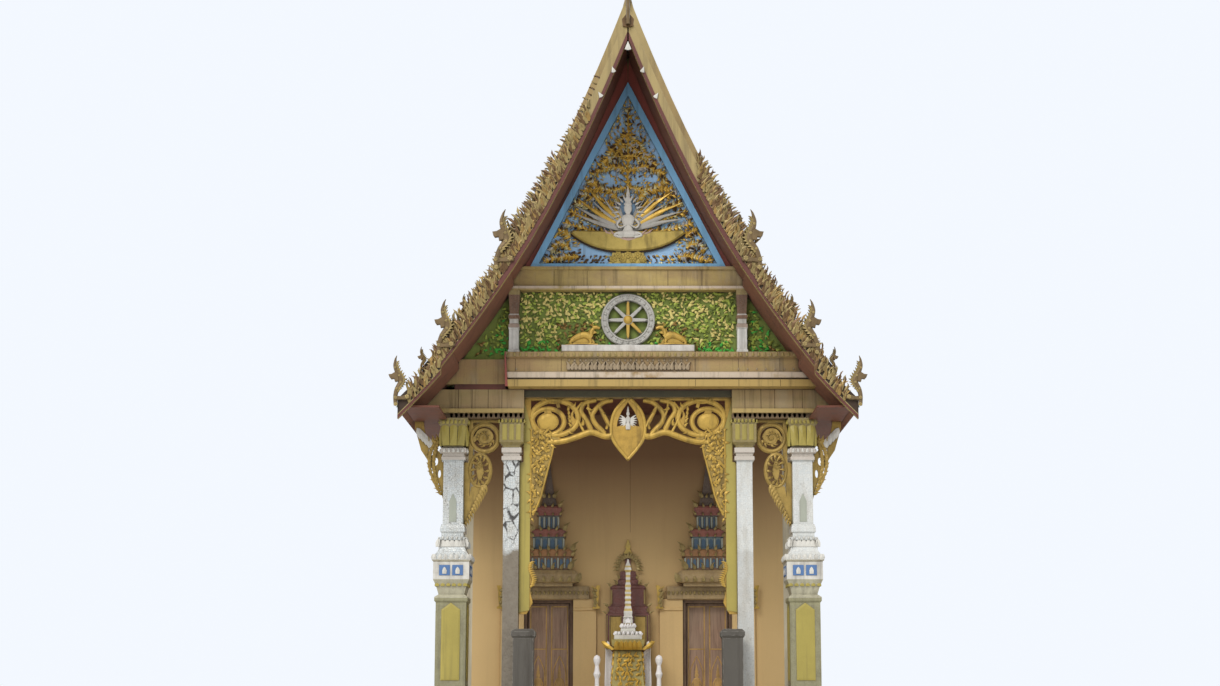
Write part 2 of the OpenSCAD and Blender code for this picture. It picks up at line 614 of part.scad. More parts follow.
// Pierced arch under the middle beam: scrolls, woven bands, a lower rim and a leg down the column
arch_z = beam_top - recess_h;
arch_top = arch_z - seat;
carving_y = [-column_y - carving_t / 2, -column_y + carving_t / 2];
strip_w = 235;
strip_low = 3520;
scroll_a = 565;
scroll_b = 445;
scroll_x = 1600;
scroll_z = arch_top - scroll_b;
curl_x = 150;
curl_z = -85;
oval_half = 395;
function oval(a, b, n) = [for (i = [0:n - 1]) [a * cos(i * 360 / n), b * sin(i * 360 / n)]];
module ring(a, b, t) difference() {
    polygon(oval(a, b, 36));
    polygon(oval(a - t, b - t, 36));
}
module strand(points, w0, w1) polygon(band(smooth(points, 4), w0, w1));
module scroll() {
    ring(scroll_a, scroll_b, 115);
    translate([curl_x, curl_z]) {
        ring(402, 338, 100);
        polygon(oval(235, 200, 24));
        polygon([[-130, 100], [-40, 280], [90, 280], [70, 100]]);
    }
    strand([[-100, 420], [-60, 330], [-90, 200]], 80, 70);
    polygon([[-490, -150], [-400, -190], [-330, -60], [-350, 90], [-410, 190], [-400, 40], [-440, -40]]);
}
module arch_leg(face) {
    inner = face - strip_w;
    difference() {
        polygon([[inner + 40, scroll_z + 120], [inner + 40, 5500], [inner - 40, 5640], [inner - 200, 6000], [inner - 315, 6420],
            [inner - 400, 6730], [inner - 480, 7050], [inner - 500, 7215], [inner - 660, 7250], [inner - 640, 7360],
            [inner - 460, 7400], [inner - 200, 7480], [inner - 60, 7600]]);
        translate([inner - 320, 7140]) polygon(oval(60, 110, 20));
        translate([inner - 130, 7020]) polygon(oval(50, 90, 20));
        translate([inner - 225, 6700]) polygon(oval(55, 100, 20));
        translate([inner - 95, 6500]) polygon(oval(40, 90, 20));
        translate([inner - 100, 6130]) polygon(oval(35, 100, 20));
    }
}
module column_strip(face, cap) polygon([[face - strip_w, arch_top], [face - strip_w, strip_low + 1000],
    [face - strip_w - 60, strip_low + 800], [face - strip_w - 10, strip_low + 500], [face - strip_w - 70, strip_low + 250],
    [face - strip_w + 60, strip_low], [face, strip_low], [face, cap - 310], [face - inner_cap, cap - 310],
    [face - inner_cap, arch_top]]);
module arch_side() {
    face = inner_x - inner_w / 2 - seat;
    column_strip(face, beam_z - capital_h);
    arch_leg(face);
    translate([scroll_x, scroll_z]) scroll();
    strand([[oval_half - 60, arch_top - 50], [530, arch_top - 95], [700, arch_top - 240], [785, arch_top - 400],
        [720, arch_top - 570], [600, arch_top - 700], [500, arch_top - 820]], 90, 110);
    strand([[700, arch_top - 50], [950, arch_top - 120], [1030, arch_top - 290], [930, arch_top - 470],
        [840, arch_top - 640], [800, arch_top - 780]], 90, 110);
    strand([[650, arch_top - 160], [560, arch_top - 330], [480, arch_top - 480], [oval_half, arch_top - 640]], 70, 90);
    strand([[oval_half - 70, arch_top - 830], [500, arch_top - 850], [800, arch_top - 760], [1090, arch_top - 850],
        [1350, arch_top - 940], [1640, arch_top - 985], [1760, arch_top - 960]], 130, 120);
    translate([oval_half - 40, arch_top - 60]) square([face - strip_w + 60 - oval_half + 40, 60]);
}
module arch_ornament_right() color("#cfa23a") both_ends() along_y(carving_y[0], carving_y[1]) difference() {
    arch_side();
    arch_heart(seat);
}
module arch_ornament_left() mirror([1, 0, 0]) arch_ornament_right();

// The heart of the arch: a pointed oval over a hanging triangle, pierced by a pointed opening
module arch_heart(grow) polygon([[0, arch_top + 1], [90 + grow, arch_top + 1], [300 + grow, arch_top - 250],
    [oval_half + grow, arch_top - 520], [oval_half + grow, arch_top - 830], [250 + grow, arch_top - 1080],
    [0, arch_top - 1400 - grow], [-250 - grow, arch_top - 1080], [-oval_half - grow, arch_top - 830],
    [-oval_half - grow, arch_top - 520], [-300 - grow, arch_top - 250], [-90 - grow, arch_top + 1]]);
module arch_ornament_middle() color("#cfa23a") both_ends() along_y(carving_y[0], carving_y[1]) difference() {
    intersection() {
        arch_heart(0);
        translate([-500, arch_top - 1500]) square([1000, 1500]);
    }
    polygon([[0, arch_top - 95], [135, arch_top - 290], [230, arch_top - 520], [245, arch_top - 640],
        [0, arch_top - 590], [-245, arch_top - 640], [-230, arch_top - 520], [-135, arch_top - 290]]);
}

// A pierced bracket hangs from the beam beside each outer column: two scrolls over a pointed leaf
module bay_brackets() color("#cfa23a") both_ends() both_sides() along_y(carving_y[0], carving_y[1]) {
    shaft = outer_x - outer_w / 2 - seat;
    cap = shaft - outer_cap;
    start = inner_x + inner_w / 2 + inner_cap + seat;
    bay = cap - start;
    top = beam_z - seat;
    low = top - capital_h - 300;
    foot = floor_z + pedestal_h + bell_h + 10;
    polygon([[cap, top], [cap, low - 15], [shaft, low - 15], [shaft, foot], [shaft - 40, foot + 40],
        [shaft - 110, top - 1900], [cap - 40, low - 400], [cap - 90, low], [cap - 90, top]]);
    translate([start + bay / 2, top - 400]) {
        ring(bay / 2, 345, 95);
        polygon(oval(120, 130, 20));
        strand([[-60, -100], [-160, 20], [-60, 160], [100, 150], [180, 20], [270, -80]], 70, 90);
    }
    translate([cap - 250, top - 1120]) {
        ring(265, 400, 85);
        polygon([[0, 330], [90, 60], [20, -330], [-90, -40]]);
    }
    polygon([[cap - 400, top - 1400], [cap - 60, top - 1480], [shaft - 30, foot + 20], [shaft - 150, top - 1980],
        [shaft - 260, top - 1760], [cap - 290, top - 1560]]);
    translate([start, top - 60]) square([bay, 60]);
}

// Brackets from the outer columns up to the eaves: an arm to the soffit over a pierced leafy body and a tail
module eave_brackets() color("#cfa23a") both_ends() both_sides() along_y(carving_y[0], carving_y[1]) {
    shaft = outer_x + outer_w / 2 + seat;
    collar = shaft + outer_collar;
    cap = beam_z - seat - capital_h;
    top = beam_z - soffit_t - seat * 2;
    tip = eave_x - 10;
    difference() {
        polygon([[collar, cap - 120], [collar + 90, cap - 50], [collar + 130, cap + 50], [collar + 200, cap + 20],
            [collar + 240, cap + 120], [collar + 300, cap + 80], [collar + 350, cap + 250], [collar + 390, cap + 420],
            [tip - 190, top], [tip, top], [tip - 10, top - 160], [tip - 60, cap + 260], [collar + 452, cap - 50],
            [collar + 370, cap - 170], [collar + 292, cap - 290], [collar + 225, cap - 430], [collar + 160, cap - 480],
            [collar + 200, cap - 575], [collar + 70, cap - 745], [collar - 3, cap - 985], [shaft, cap - 1200],
            [shaft, cap - 310], [collar, cap - 290]]);
        translate([collar + 240, cap - 70]) polygon(oval(60, 90, 20));
        translate([collar + 130, cap - 290]) polygon(oval(50, 90, 20));
        translate([collar + 50, cap - 560]) polygon(oval(35, 90, 20));
    }
}

// Doors: a frame, two leaves on pivots and a tiered crown at each doorway
leaf_low = floor_z + frame_t + leaf_gap;
leaf_high = door_top - frame_t - leaf_gap;
leaf_y = -wall_y + wall - leaf_t;
leaf_w = door_w / 2 - frame_t - leaf_gap * 1.5;
hinge_in = leaf_t / 2 + leaf_gap;
module door_frames() color("#5a3a22") both_sides() {
    low_y = -wall_y + 30;
    high_y = -wall_y + wall;
    x0 = door_x - door_w / 2 + seat;
    x1 = door_x + door_w / 2 - seat;
    for (x = [x0, x1 - frame_t + seat])
        box([x, low_y, floor_z + frame_t + seat], [x + frame_t - seat, high_y, door_top - frame_t - seat]);
    box([x0, low_y, door_top - frame_t], [x1, high_y, door_top - seat]);
    box([x0, low_y, floor_z + seat], [x1, high_y, floor_z + frame_t]);
}

// The pivot edge of a leaf is rounded about its axis at the origin
module leaf_shape() color("#6b4426") {
    round_r = leaf_t / 2;
    outline = concat([for (a = [90:22.5:270]) round_r * [cos(a), sin(a)]],
        [[leaf_w - round_r, -round_r], [leaf_w - round_r, round_r]]);
    translate([0, 0, leaf_low]) linear_extrude(leaf_high - leaf_low) polygon(outline);
    translate([0, 0, leaf_low - leaf_gap + seat]) cylinder(r = round_r * 0.7, h = leaf_gap, $fn = 32);
    translate([0, 0, leaf_high - seat]) cylinder(r = round_r * 0.7, h = leaf_gap, $fn = 32);
}
leaf_axis = door_w / 2 - frame_t - hinge_in;
module door_leaf_right_inner() translate([door_x - leaf_axis, leaf_y, 0]) leaf_shape();
module door_leaf_right_outer() translate([door_x + leaf_axis, leaf_y, 0]) mirror([1, 0, 0]) leaf_shape();
module door_leaf_left_outer() translate([-door_x - leaf_axis, leaf_y, 0]) leaf_shape();
module door_leaf_left_inner() translate([-door_x + leaf_axis, leaf_y, 0]) mirror([1, 0, 0]) leaf_shape();

// A tower that stands off the porch wall: half width and height above its foot
module wall_tower(x, low, profile, flat) {
    reach = max([for (p = profile) p[0]]) + 10;
    back = -wall_y - seat;
    intersection() {
        along_y(back - reach, back)
            polygon([for (p = concat(profile, [for (q = flip(profile)) [-q[0], q[1]]])) [x + p[0], low + p[1]]]);
        along_x(x - reach, x + reach)
            polygon(concat([[back, low + profile[len(profile) - 1][1]], [back, low + profile[0][1]]],
                [for (p = profile) [back - 30 - p[0] * flat, low + p[1]]]));
    }
}
crown_profile = [[560, 280], [560, 350], [700, 380], [740, 460], [720, 560], [620, 640],
    [520, 680], [520, 960], [585, 980], [585, 1110], [560, 1140], [350, 1150], [340, 1430], [395, 1440], [395, 1590],
    [370, 1620], [225, 1630], [215, 1940], [295, 1950], [295, 2130], [260, 2170], [175, 2190], [150, 2350], [105, 2500],
    [75, 2700], [40, 2950], [10, 3290]];
crown_foot_half = door_w * 0.82;
module door_crowns() color("#8f5a3a") both_sides() {
    low = door_top + 20;
    stretch = crown_h / 3290;
    box([door_x - crown_foot_half, -wall_y - 130, low], [door_x + crown_foot_half, -wall_y - seat, low + 290 * stretch]);
    wall_tower(door_x, low, [for (p = crown_profile) [p[0], p[1] * stretch]], 0.5);
}

// Pilasters at both sides of each doorway, under the foot of its crown, with a carved bracket at each top
pilaster_w = (door_x - door_w / 2) * 0.42;
pilaster_t = 80;
module beside_doors() both_sides() for (side = [0, 1])
    translate([door_x, 0, 0]) mirror([side, 0, 0]) translate([door_w / 2 + seat, 0, 0]) children();
module door_pilasters() color("#a98f64") beside_doors() along_x(0, pilaster_w) {
    low = floor_z + seat;
    top = door_top + 20 - seat;
    back = -wall_y - seat;
    front = back - pilaster_t;
    polygon([[back, low], [front - 30, low], [front - 30, low + 260], [front, low + 300], [front, top - 280],
        [front - 30, top - 260], [front - 30, top - 220], [front, top - 200], [front, top], [back, top]]);
}
module pilaster_brackets() color("#c9a13a") beside_doors()
    along_y(-wall_y - pilaster_t - 100, -wall_y - pilaster_t - 30 - seat * 2) translate([pilaster_w, door_top - 210])
        polygon([[90, 0], [-90, 0], [-70, 40], [-30, 70], [-35, 300], [-60, 420], [-115, 540], [-20, 470], [10, 540],
            [95, 540], [60, 400], [60, 260], [40, 70], [90, 40]]);

// The niche and the altar between the doors
niche_h = 4120;
niche_profile = [[560, 0], [560, 200], [520, 230], [510, 1680], [505, 2370], [465, 2380], [465, 2540], [390, 2555],
    [390, 2955], [415, 2970], [415, 3020], [330, 3035], [245, 3060], [235, 3165], [190, 3185], [178, 3365], [75, 3385],
    [62, 3550], [60, 3770], [112, 3785], [80, 3830], [45, 3900], [60, 3960], [12, 4120]];
module shrine_niche() color("#7a3323")
    wall_tower(0, floor_z + seat, [for (p = niche_profile) [p[0], p[1] * niche_h / 4120]], 0.6);

altar_gap = 800;
module altar() color("#c9a13a") square_post(0, -wall_y - altar_gap, [for (p = [[420, 0], [420, 150], [375, 190],
    [365, 700], [300, 1480], [285, 1510], [355, 1600], [370, 1745], [315, 1755], [310, 1850], [250, 1870], [245, 1930],
    [170, 1945], [160, 2010], [110, 2030], [95, 2240], [112, 2260], [90, 2300], [100, 2380], [70, 2520], [60, 2540],
    [75, 2590], [58, 2640], [74, 2700], [58, 2760], [72, 2830], [56, 2900], [66, 2980], [50, 3060], [52, 3290],
    [80, 3340], [62, 3440], [25, 3530], [10, 3595]]) [p[0], floor_z + seat + p[1]]]);
module altar_panels() color("#e8e4dc") both_sides() along_y(-wall_y - altar_gap - 20, -wall_y - altar_gap + 20)
    translate([0, floor_z + seat]) polygon([[430, 0], [540, 0], [530, 900], [505, 1600], [475, 1730], [430, 1700],
        [395, 1520], [325, 1440], [370, 750], [388, 200], [430, 175]]);

base_platform();
front_stair();
stair_cheeks();
stair_posts();
front_wall_left();
front_wall_middle();
front_wall_right();
front_wall_top();
rear_wall();
side_walls();
window_shutters();
window_frames();
ceilings();
inner_columns();
outer_columns();
column_pedestals();
lower_beams();
cornices();
arch_ornament_left();
arch_ornament_middle();
arch_ornament_right();
bay_brackets();
eave_brackets();
porch_gable_walls();
main_gable_walls();
collar_beams();
gable_pilasters();
pediment_frames();
pediment_relief();
wheel();
deer_pair();
wheel_shelf();
eave_soffits();
porch_roof_upper();
porch_roof_middle();
porch_roof_lower();
main_roof_upper();
main_roof_middle();
main_roof_lower();
ridge_caps();
porch_bargeboards();
main_bargeboards();
porch_blades();
main_blades();
eave_finials();
ridge_finials();
door_frames();
door_leaf_left_outer();
door_leaf_left_inner();
door_leaf_right_inner();
door_leaf_right_outer();
door_crowns();
door_pilasters();
pilaster_brackets();
shrine_niche();
altar();
altar_panels();
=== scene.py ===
"""Finishes, tiles, gilding and carving for the Thai temple hall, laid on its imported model."""

import math
import random

import bmesh
import bpy
from bpy.props import FloatProperty, FloatVectorProperty, IntProperty, PointerProperty
from mathutils import Matrix, Vector


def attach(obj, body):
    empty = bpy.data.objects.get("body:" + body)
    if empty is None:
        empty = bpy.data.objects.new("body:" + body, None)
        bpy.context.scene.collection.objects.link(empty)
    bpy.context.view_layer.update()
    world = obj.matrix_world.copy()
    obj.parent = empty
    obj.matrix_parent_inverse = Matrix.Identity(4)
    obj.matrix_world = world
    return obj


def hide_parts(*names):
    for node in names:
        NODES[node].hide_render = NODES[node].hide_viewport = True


bl_info = {
    "name": "Temple hall looks",
    "version": (1, 0, 0),
    "blender": (4, 5, 0),
    "location": "View3D > Sidebar > Temple",
    "description": "Builds the finishes and carved pieces of a Thai temple hall on its packed model",
    "category": "Object",
}

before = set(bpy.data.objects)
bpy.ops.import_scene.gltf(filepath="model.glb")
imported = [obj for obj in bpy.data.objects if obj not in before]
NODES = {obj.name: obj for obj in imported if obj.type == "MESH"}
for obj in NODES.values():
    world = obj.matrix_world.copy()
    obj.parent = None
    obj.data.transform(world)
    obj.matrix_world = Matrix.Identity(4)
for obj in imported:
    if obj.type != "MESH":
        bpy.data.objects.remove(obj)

# Levels and places that the part's source gives, in metres
COLUMN_Y = 8.0
WALL_Y = 5.0
INNER_X = 2.53
OUTER_X = 3.785
WALL_OUT = 3.935
FLOOR_Z = 1.3
BEAM_Z = 7.76
CAPITAL_Z = BEAM_Z - 0.63
BEAM_FACE = 8.22
CORNICE_LOW = 8.41
CORNICE_TOP = 9.18
CORNICE_FACE = 8.55
PANEL_TOP = 10.61
COLLAR_TOP = 11.15
GABLE_FACE = 8.06
FRONT_Y = 9.83
MAIN_Y = 7.6
BOARD_T = 0.12
FINIAL_T = 0.08
BOARD_RISE = 0.11
DOOR_X = 1.85
WHEEL_Z = 9.965
ARCH_TOP = 8.2497
TUCK = 0.2


# Tiers of the roofs, as start x, start z, end x, end z, sag, thickness and number of flats
def tier_z(tier, x):
    u = (x - tier[0]) / (tier[2] - tier[0])
    return tier[1] + (tier[3] - tier[1]) * u - 4 * tier[4] * u * (1 - u)


def tier_under(upper, x_end, z_end, sag):
    start = upper[2] - TUCK
    z = upper[3] - upper[5] - 0.01
    slope = (z - z_end) / (x_end - upper[2])
    return (start, min(z + slope * TUCK, tier_z(upper, start) - upper[5] - 0.01), x_end, z_end, sag, 0.12, 3)


def tier_points(tier, start=None, lift=0.0):
    first = tier[0] if start is None else start
    return [(first + (tier[2] - first) * i / tier[6], tier_z(tier, first + (tier[2] - first) * i / tier[6]) + lift)
            for i in range(tier[6] + 1)]


def tier_stack(first, *rest):
    """The three tiers of a roof, each tucked under the one above."""
    tiers = [first]
    for end in rest:
        tiers.append(tier_under(tiers[-1], *end))
    return tuple(tiers)


PORCH = tier_stack((0.0, 16.21, 2.72, 10.69, 0.39, 0.15, 8), (3.9, 8.87, 0.04), (4.78, 7.77, 0.03))
MAIN = tier_stack((0.0, 17.6, 2.6, 11.9, 0.33, 0.15, 8), (3.7, 10.15, 0.04), (4.56, 8.9, 0.03))


class TempleView(bpy.types.PropertyGroup):
    """The camera and the light"""
    distance: FloatProperty(name="Distance", description="How far the camera stands from the middle", default=44.0,
                            unit="LENGTH")
    height: FloatProperty(name="Height", description="Height of the camera above the ground", default=1.6,
                          unit="LENGTH")
    tilt: FloatProperty(name="Tilt", description="How far the camera looks up", default=math.radians(8.168),
                        subtype="ANGLE")
    lens: FloatProperty(name="Lens", description="Focal length of the camera in millimetres", default=49.18)
    shift_x: FloatProperty(name="Shift across", description="Sideways shift of the picture", default=-0.01475)
    shift_y: FloatProperty(name="Shift up", description="Upward shift of the picture", default=0.1)
    sky: FloatProperty(name="Sky light", description="Strength of the light from all round", default=0.8)
    sun: FloatProperty(name="Key light", description="Strength of the soft key light", default=1.5)


class TempleColours(bpy.types.PropertyGroup):
    """The main colours"""
    gold: FloatVectorProperty(name="Gold", description="Gilding of the carved boards", subtype="COLOR",
                              default=(0.52, 0.32, 0.06))
    tile: FloatVectorProperty(name="Roof tile", description="Glaze of the roof tiles", subtype="COLOR",
                              default=(0.50, 0.15, 0.03))
    tile_edge: FloatVectorProperty(name="Tile border", description="Glaze of the border tiles", subtype="COLOR",
                                   default=(0.05, 0.17, 0.06))
    tan: FloatVectorProperty(name="Tan plaster", description="Wash of the porch walls", subtype="COLOR",
                             default=(0.42, 0.29, 0.13))
    cream: FloatVectorProperty(name="Cream plaster", description="Wash of the outside walls", subtype="COLOR",
                               default=(0.62, 0.55, 0.40))
    field: FloatVectorProperty(name="Gable field", description="Ground behind the gilded relief", subtype="COLOR",
                               default=(0.38, 0.62, 0.95))
    green: FloatVectorProperty(name="Green panel", description="Panel behind the wheel", subtype="COLOR",
                               default=(0.20, 0.26, 0.05))
    red: FloatVectorProperty(name="Red boards", description="Paint under the eaves", subtype="COLOR",
                             default=(0.15, 0.045, 0.022))


class TempleRoof(bpy.types.PropertyGroup):
    """Sizes of the roof tiles"""
    tile_w: FloatProperty(name="Tile width", description="Width of one roof tile", default=0.2, unit="LENGTH")
    tile_h: FloatProperty(name="Tile course", description="Exposed height of one course", default=0.17,
                          unit="LENGTH")
    seed: IntProperty(name="Seed", description="Seed for the slight unevenness of the pieces", default=7)


class Finish:
    """One material, built up from patterns on the object's own coordinates."""

    def __init__(self, name, colour=None, metallic=0.0, coat=0.0):
        self.material = bpy.data.materials.new(name)
        self.material.use_nodes = True
        self.nodes = self.material.node_tree.nodes
        self.links = self.material.node_tree.links
        self.shader = self.nodes["Principled BSDF"]
        self.shader.inputs["Metallic"].default_value = metallic
        self.shader.inputs["Coat Weight"].default_value = coat
        self.coords = self.nodes.new("ShaderNodeTexCoord").outputs["Object"]
        self.colour = colour

    def put(self, socket, value):
        if isinstance(value, bpy.types.NodeSocket):
            self.links.new(value, socket)
        elif hasattr(value, "__len__"):
            socket.default_value = (*value[:3], 1.0) if len(socket.default_value) == 4 else value[:3]
        else:
            socket.default_value = value

    def node(self, kind, inputs, **settings):
        """The outputs of a new node with these inputs and settings."""
        node = self.nodes.new("ShaderNode" + kind)
        for key, value in settings.items():
            setattr(node, key, value)
        for key, value in inputs.items():
            self.put(node.inputs[key], value)
        return node.outputs

    def stretched(self, scale):
        return self.node("Mapping", {"Vector": self.coords, "Scale": scale})["Vector"] if scale else self.coords

    def noise(self, scale, stretch=None, detail=5.0, rough=0.6, warp=0.0):
        return self.node("TexNoise", {"Vector": self.stretched(stretch), "Scale": scale, "Detail": detail,
                                      "Roughness": rough, "Distortion": warp})["Fac"]

    def cells(self, scale, stretch=None, feature="F1", jitter=1.0, output="Distance"):
        return self.node("TexVoronoi", {"Vector": self.stretched(stretch), "Scale": scale, "Randomness": jitter},
                         feature=feature)[output]

    def sum(self, operation, a, b=0.0, c=0.0):
        return self.node("Math", {0: a, 1: b, 2: c}, operation=operation)[0]

    def times(self, a, b):
        return self.sum("MULTIPLY", a, b)

    def axis(self, name):
        return self.node("SeparateXYZ", {0: self.coords})[name]

    def span(self, value, low, high, start=0.0, end=1.0):
        return self.node("MapRange", {"Value": value, "From Min": low, "From Max": high, "To Min": start,
                                      "To Max": end})["Result"]

    def mix(self, factor, a, b, mode="MIX"):
        return self.node("Mix", {0: factor, 6: a, 7: b}, data_type="RGBA", blend_type=mode)[2]

    def lay(self, factor, colour, mode="MIX"):
        """Lays a colour over those before it."""
        self.colour = self.mix(factor, self.colour, colour, mode)

    def tint(self, value, low, high, strength, colour, mode="MIX"):
        """Lays a colour as far as a value goes from low to high."""
        self.lay(self.span(value, low, high, 0.0, strength), colour, mode)

    def bands(self, value, low, high, stops):
        """Flat colours in steps along a value: stops are (where, colour)."""
        node = self.nodes.new("ShaderNodeValToRGB")
        node.color_ramp.interpolation = "CONSTANT"
        self.links.new(self.span(value, low, high), node.inputs[0])
        ramp = node.color_ramp.elements
        for i, (place, colour) in enumerate(stops):
            at = (place - low) / (high - low)
            element = ramp[i] if i < 2 else ramp.new(at)
            element.position = at
            element.color = (*colour[:3], 1.0)
        return node.outputs["Color"]

    # Ambient occlusion of the hollows, the mask that paints shade into them
    def crevice_shade(self, distance):
        return self.node("AmbientOcclusion", {"Distance": distance}, samples=4)["AO"]

    def edges(self, radius):
        """1 along sharp edges and 0 on the flats."""
        bevel = self.node("Bevel", {"Radius": radius}, samples=2)["Normal"]
        plain = self.node("NewGeometry", {})["Normal"]
        return self.span(self.node("VectorMath", {0: bevel, 1: plain}, operation="DOT_PRODUCT")["Value"], 0.98, 0.75)

    def finish(self, rough, height=None, depth=0.004):
        self.put(self.shader.inputs["Base Color"], self.colour)
        self.put(self.shader.inputs["Roughness"], rough)
        if height is not None:
            bump = self.node("Bump", {"Strength": 0.6, "Distance": depth, "Height": height})["Normal"]
            self.links.new(bump, self.shader.inputs["Normal"])
        return self.material


def shade(colour, factor):
    return tuple(min(1.0, c * factor) for c in colour[:3])


def weathered(name, base, grime_and_shade=(0.05, 0.04, 0.03), streaks=0.5, patches=0.35, worn=None, rough=0.75, crevice_shade=0.12,
              depth=0.004, ground=None, top=None):
    """Paint or plaster with patches, rain streaks, soiling with painted shade in the hollows and wear along its
    edges.
    """
    f = Finish(name, base)
    patch = f.noise(0.9, detail=6.0, rough=0.65)
    fine = f.noise(55.0, detail=3.0)
    f.tint(patch, 0.35, 0.65, patches, shade(base, 0.62))
    f.tint(fine, 0.3, 0.7, 0.28, shade(base, 1.3))
    f.tint(f.noise(1.0, (5.0, 5.0, 0.28), 6.0, 0.7, 0.4), 0.5, 0.72, streaks, grime_and_shade)
    # Darker towards the top, between the heights given in top
    if top:
        f.tint(f.axis("Z"), *top, grime_and_shade)
    if ground:
        f.tint(f.sum("ADD", f.axis("Z"), f.times(patch, -0.5)), *ground, grime_and_shade)
    # Painted shade with soiling: the hollows darken by ambient occlusion
    f.tint(f.crevice_shade(crevice_shade), 0.75, 0.25, 0.8, grime_and_shade)
    if worn:
        f.lay(f.times(f.edges(0.02), f.span(f.noise(14.0), 0.42, 0.58)), worn)
    height = f.sum("ADD", f.times(fine, 0.4), f.noise(9.0, detail=4.0))
    return f.finish(f.span(fine, 0.2, 0.8, rough - 0.12, min(1.0, rough + 0.12)), height, depth)


def gilded(name, base, reach=0.1, dull=0.55):
    """Old gilding: bright where it stands proud, dark brown between from soiling and painted shade, with flaked
    patches.
    """
    dirt_and_shade = (0.045, 0.03, 0.012)
    f = Finish(name, base, metallic=0.35)
    flakes = f.noise(6.0, detail=6.0, rough=0.7)
    fine = f.noise(70.0, detail=2.0)
    f.tint(flakes, 0.38, 0.64, 0.65, shade(base, dull))
    f.tint(fine, 0.35, 0.7, 0.35, shade(base, 1.35))
    f.tint(f.noise(2.2, (3.0, 3.0, 0.6)), 0.52, 0.7, 0.5, dirt_and_shade)
    # Painted shade with soiling: dark brown in the hollows by ambient occlusion
    f.tint(f.crevice_shade(reach), 0.85, 0.35, 0.92, dirt_and_shade)
    return f.finish(f.span(flakes, 0.3, 0.7, 0.34, 0.6), f.sum("ADD", flakes, f.times(fine, 0.5)), 0.003)


def banded(name, low, high, stops, streaks=0.35):
    """Bands of colour by height, weathered, with painted shade in the hollows."""
    grime_and_shade = (0.05, 0.04, 0.03)
    f = Finish(name)
    patch = f.noise(3.0, detail=6.0, rough=0.65)
    fine = f.noise(60.0, detail=3.0)
    f.colour = f.bands(f.axis("Z"), low, high, stops)
    f.tint(patch, 0.4, 0.68, 0.45, (0.3, 0.25, 0.2), "MULTIPLY")
    f.tint(fine, 0.35, 0.7, 0.12, (1.0, 0.96, 0.88))
    f.tint(f.noise(1.0, (9.0, 9.0, 0.6)), 0.5, 0.72, streaks, grime_and_shade)
    # Painted shade with soiling in the hollows, by ambient occlusion
    f.tint(f.crevice_shade(0.08), 0.8, 0.3, 0.85, grime_and_shade)
    return f.finish(f.span(fine, 0.2, 0.8, 0.48, 0.72), f.sum("ADD", patch, fine))


def mosaic(name, worn_below=None):
    """White chips in plaster. The left front column is cracked above and worn below this height."""
    f = Finish(name, (0.74, 0.76, 0.74))
    gap = f.cells(20.0, feature="DISTANCE_TO_EDGE", jitter=0.75)
    tone = f.cells(20.0, jitter=0.75, output="Color")
    z = f.axis("Z")
    left = f.span(f.axis("X"), -0.5, -1.0)
    f.tint(tone, 0.2, 0.9, 0.5, (0.45, 0.52, 0.56))
    f.lay(f.times(f.span(left, 0.0, 1.0, 0.75, 0.0), f.noise(2.0)), (0.78, 0.77, 0.72))
    f.tint(f.noise(2.5, (2.0, 2.0, 0.5)), 0.45, 0.7, 0.4, (0.42, 0.36, 0.26))
    f.lay(f.times(f.span(gap, 0.05, 0.015), f.span(left, 0.0, 1.0, 0.3, 0.75)), (0.16, 0.15, 0.13))
    if worn_below:
        zone = f.times(f.span(z, worn_below, worn_below + 0.3), left)
        big = f.cells(4.5, (1.0, 1.0, 0.7), "DISTANCE_TO_EDGE")
        crack = f.span(f.sum("ADD", big, f.times(f.noise(6.0), 0.35)), 0.24, 0.18)
        f.lay(f.times(crack, zone), (0.06, 0.055, 0.05))
        fade = f.span(f.sum("ADD", z, f.times(f.noise(3.0, detail=6.0), 0.5)), worn_below + 0.3, worn_below + 0.2)
        worn = f.mix(f.noise(8.0, detail=6.0), (0.14, 0.11, 0.075), (0.3, 0.26, 0.2))
        f.lay(f.times(fade, f.span(left, 0.0, 1.0, 0.25, 1.0)), worn)
    olive = f.mix(f.noise(3.0, (4.0, 4.0, 0.5), 6.0), (0.16, 0.12, 0.04), (0.42, 0.33, 0.13))
    f.lay(f.span(z, CAPITAL_Z - 0.01, CAPITAL_Z), olive)
    collar = f.times(f.span(z, CAPITAL_Z - 0.29, CAPITAL_Z - 0.28), f.span(z, CAPITAL_Z - 0.01, CAPITAL_Z - 0.02))
    f.lay(collar, (0.6, 0.54, 0.47))
    # Painted shade: the hollows darken by ambient occlusion
    f.tint(f.crevice_shade(0.08), 0.8, 0.3, 0.7, (0.08, 0.07, 0.05))
    return f.finish(f.span(tone, 0.2, 0.9, 0.22, 0.5), f.span(gap, 0.0, 0.05), 0.003)


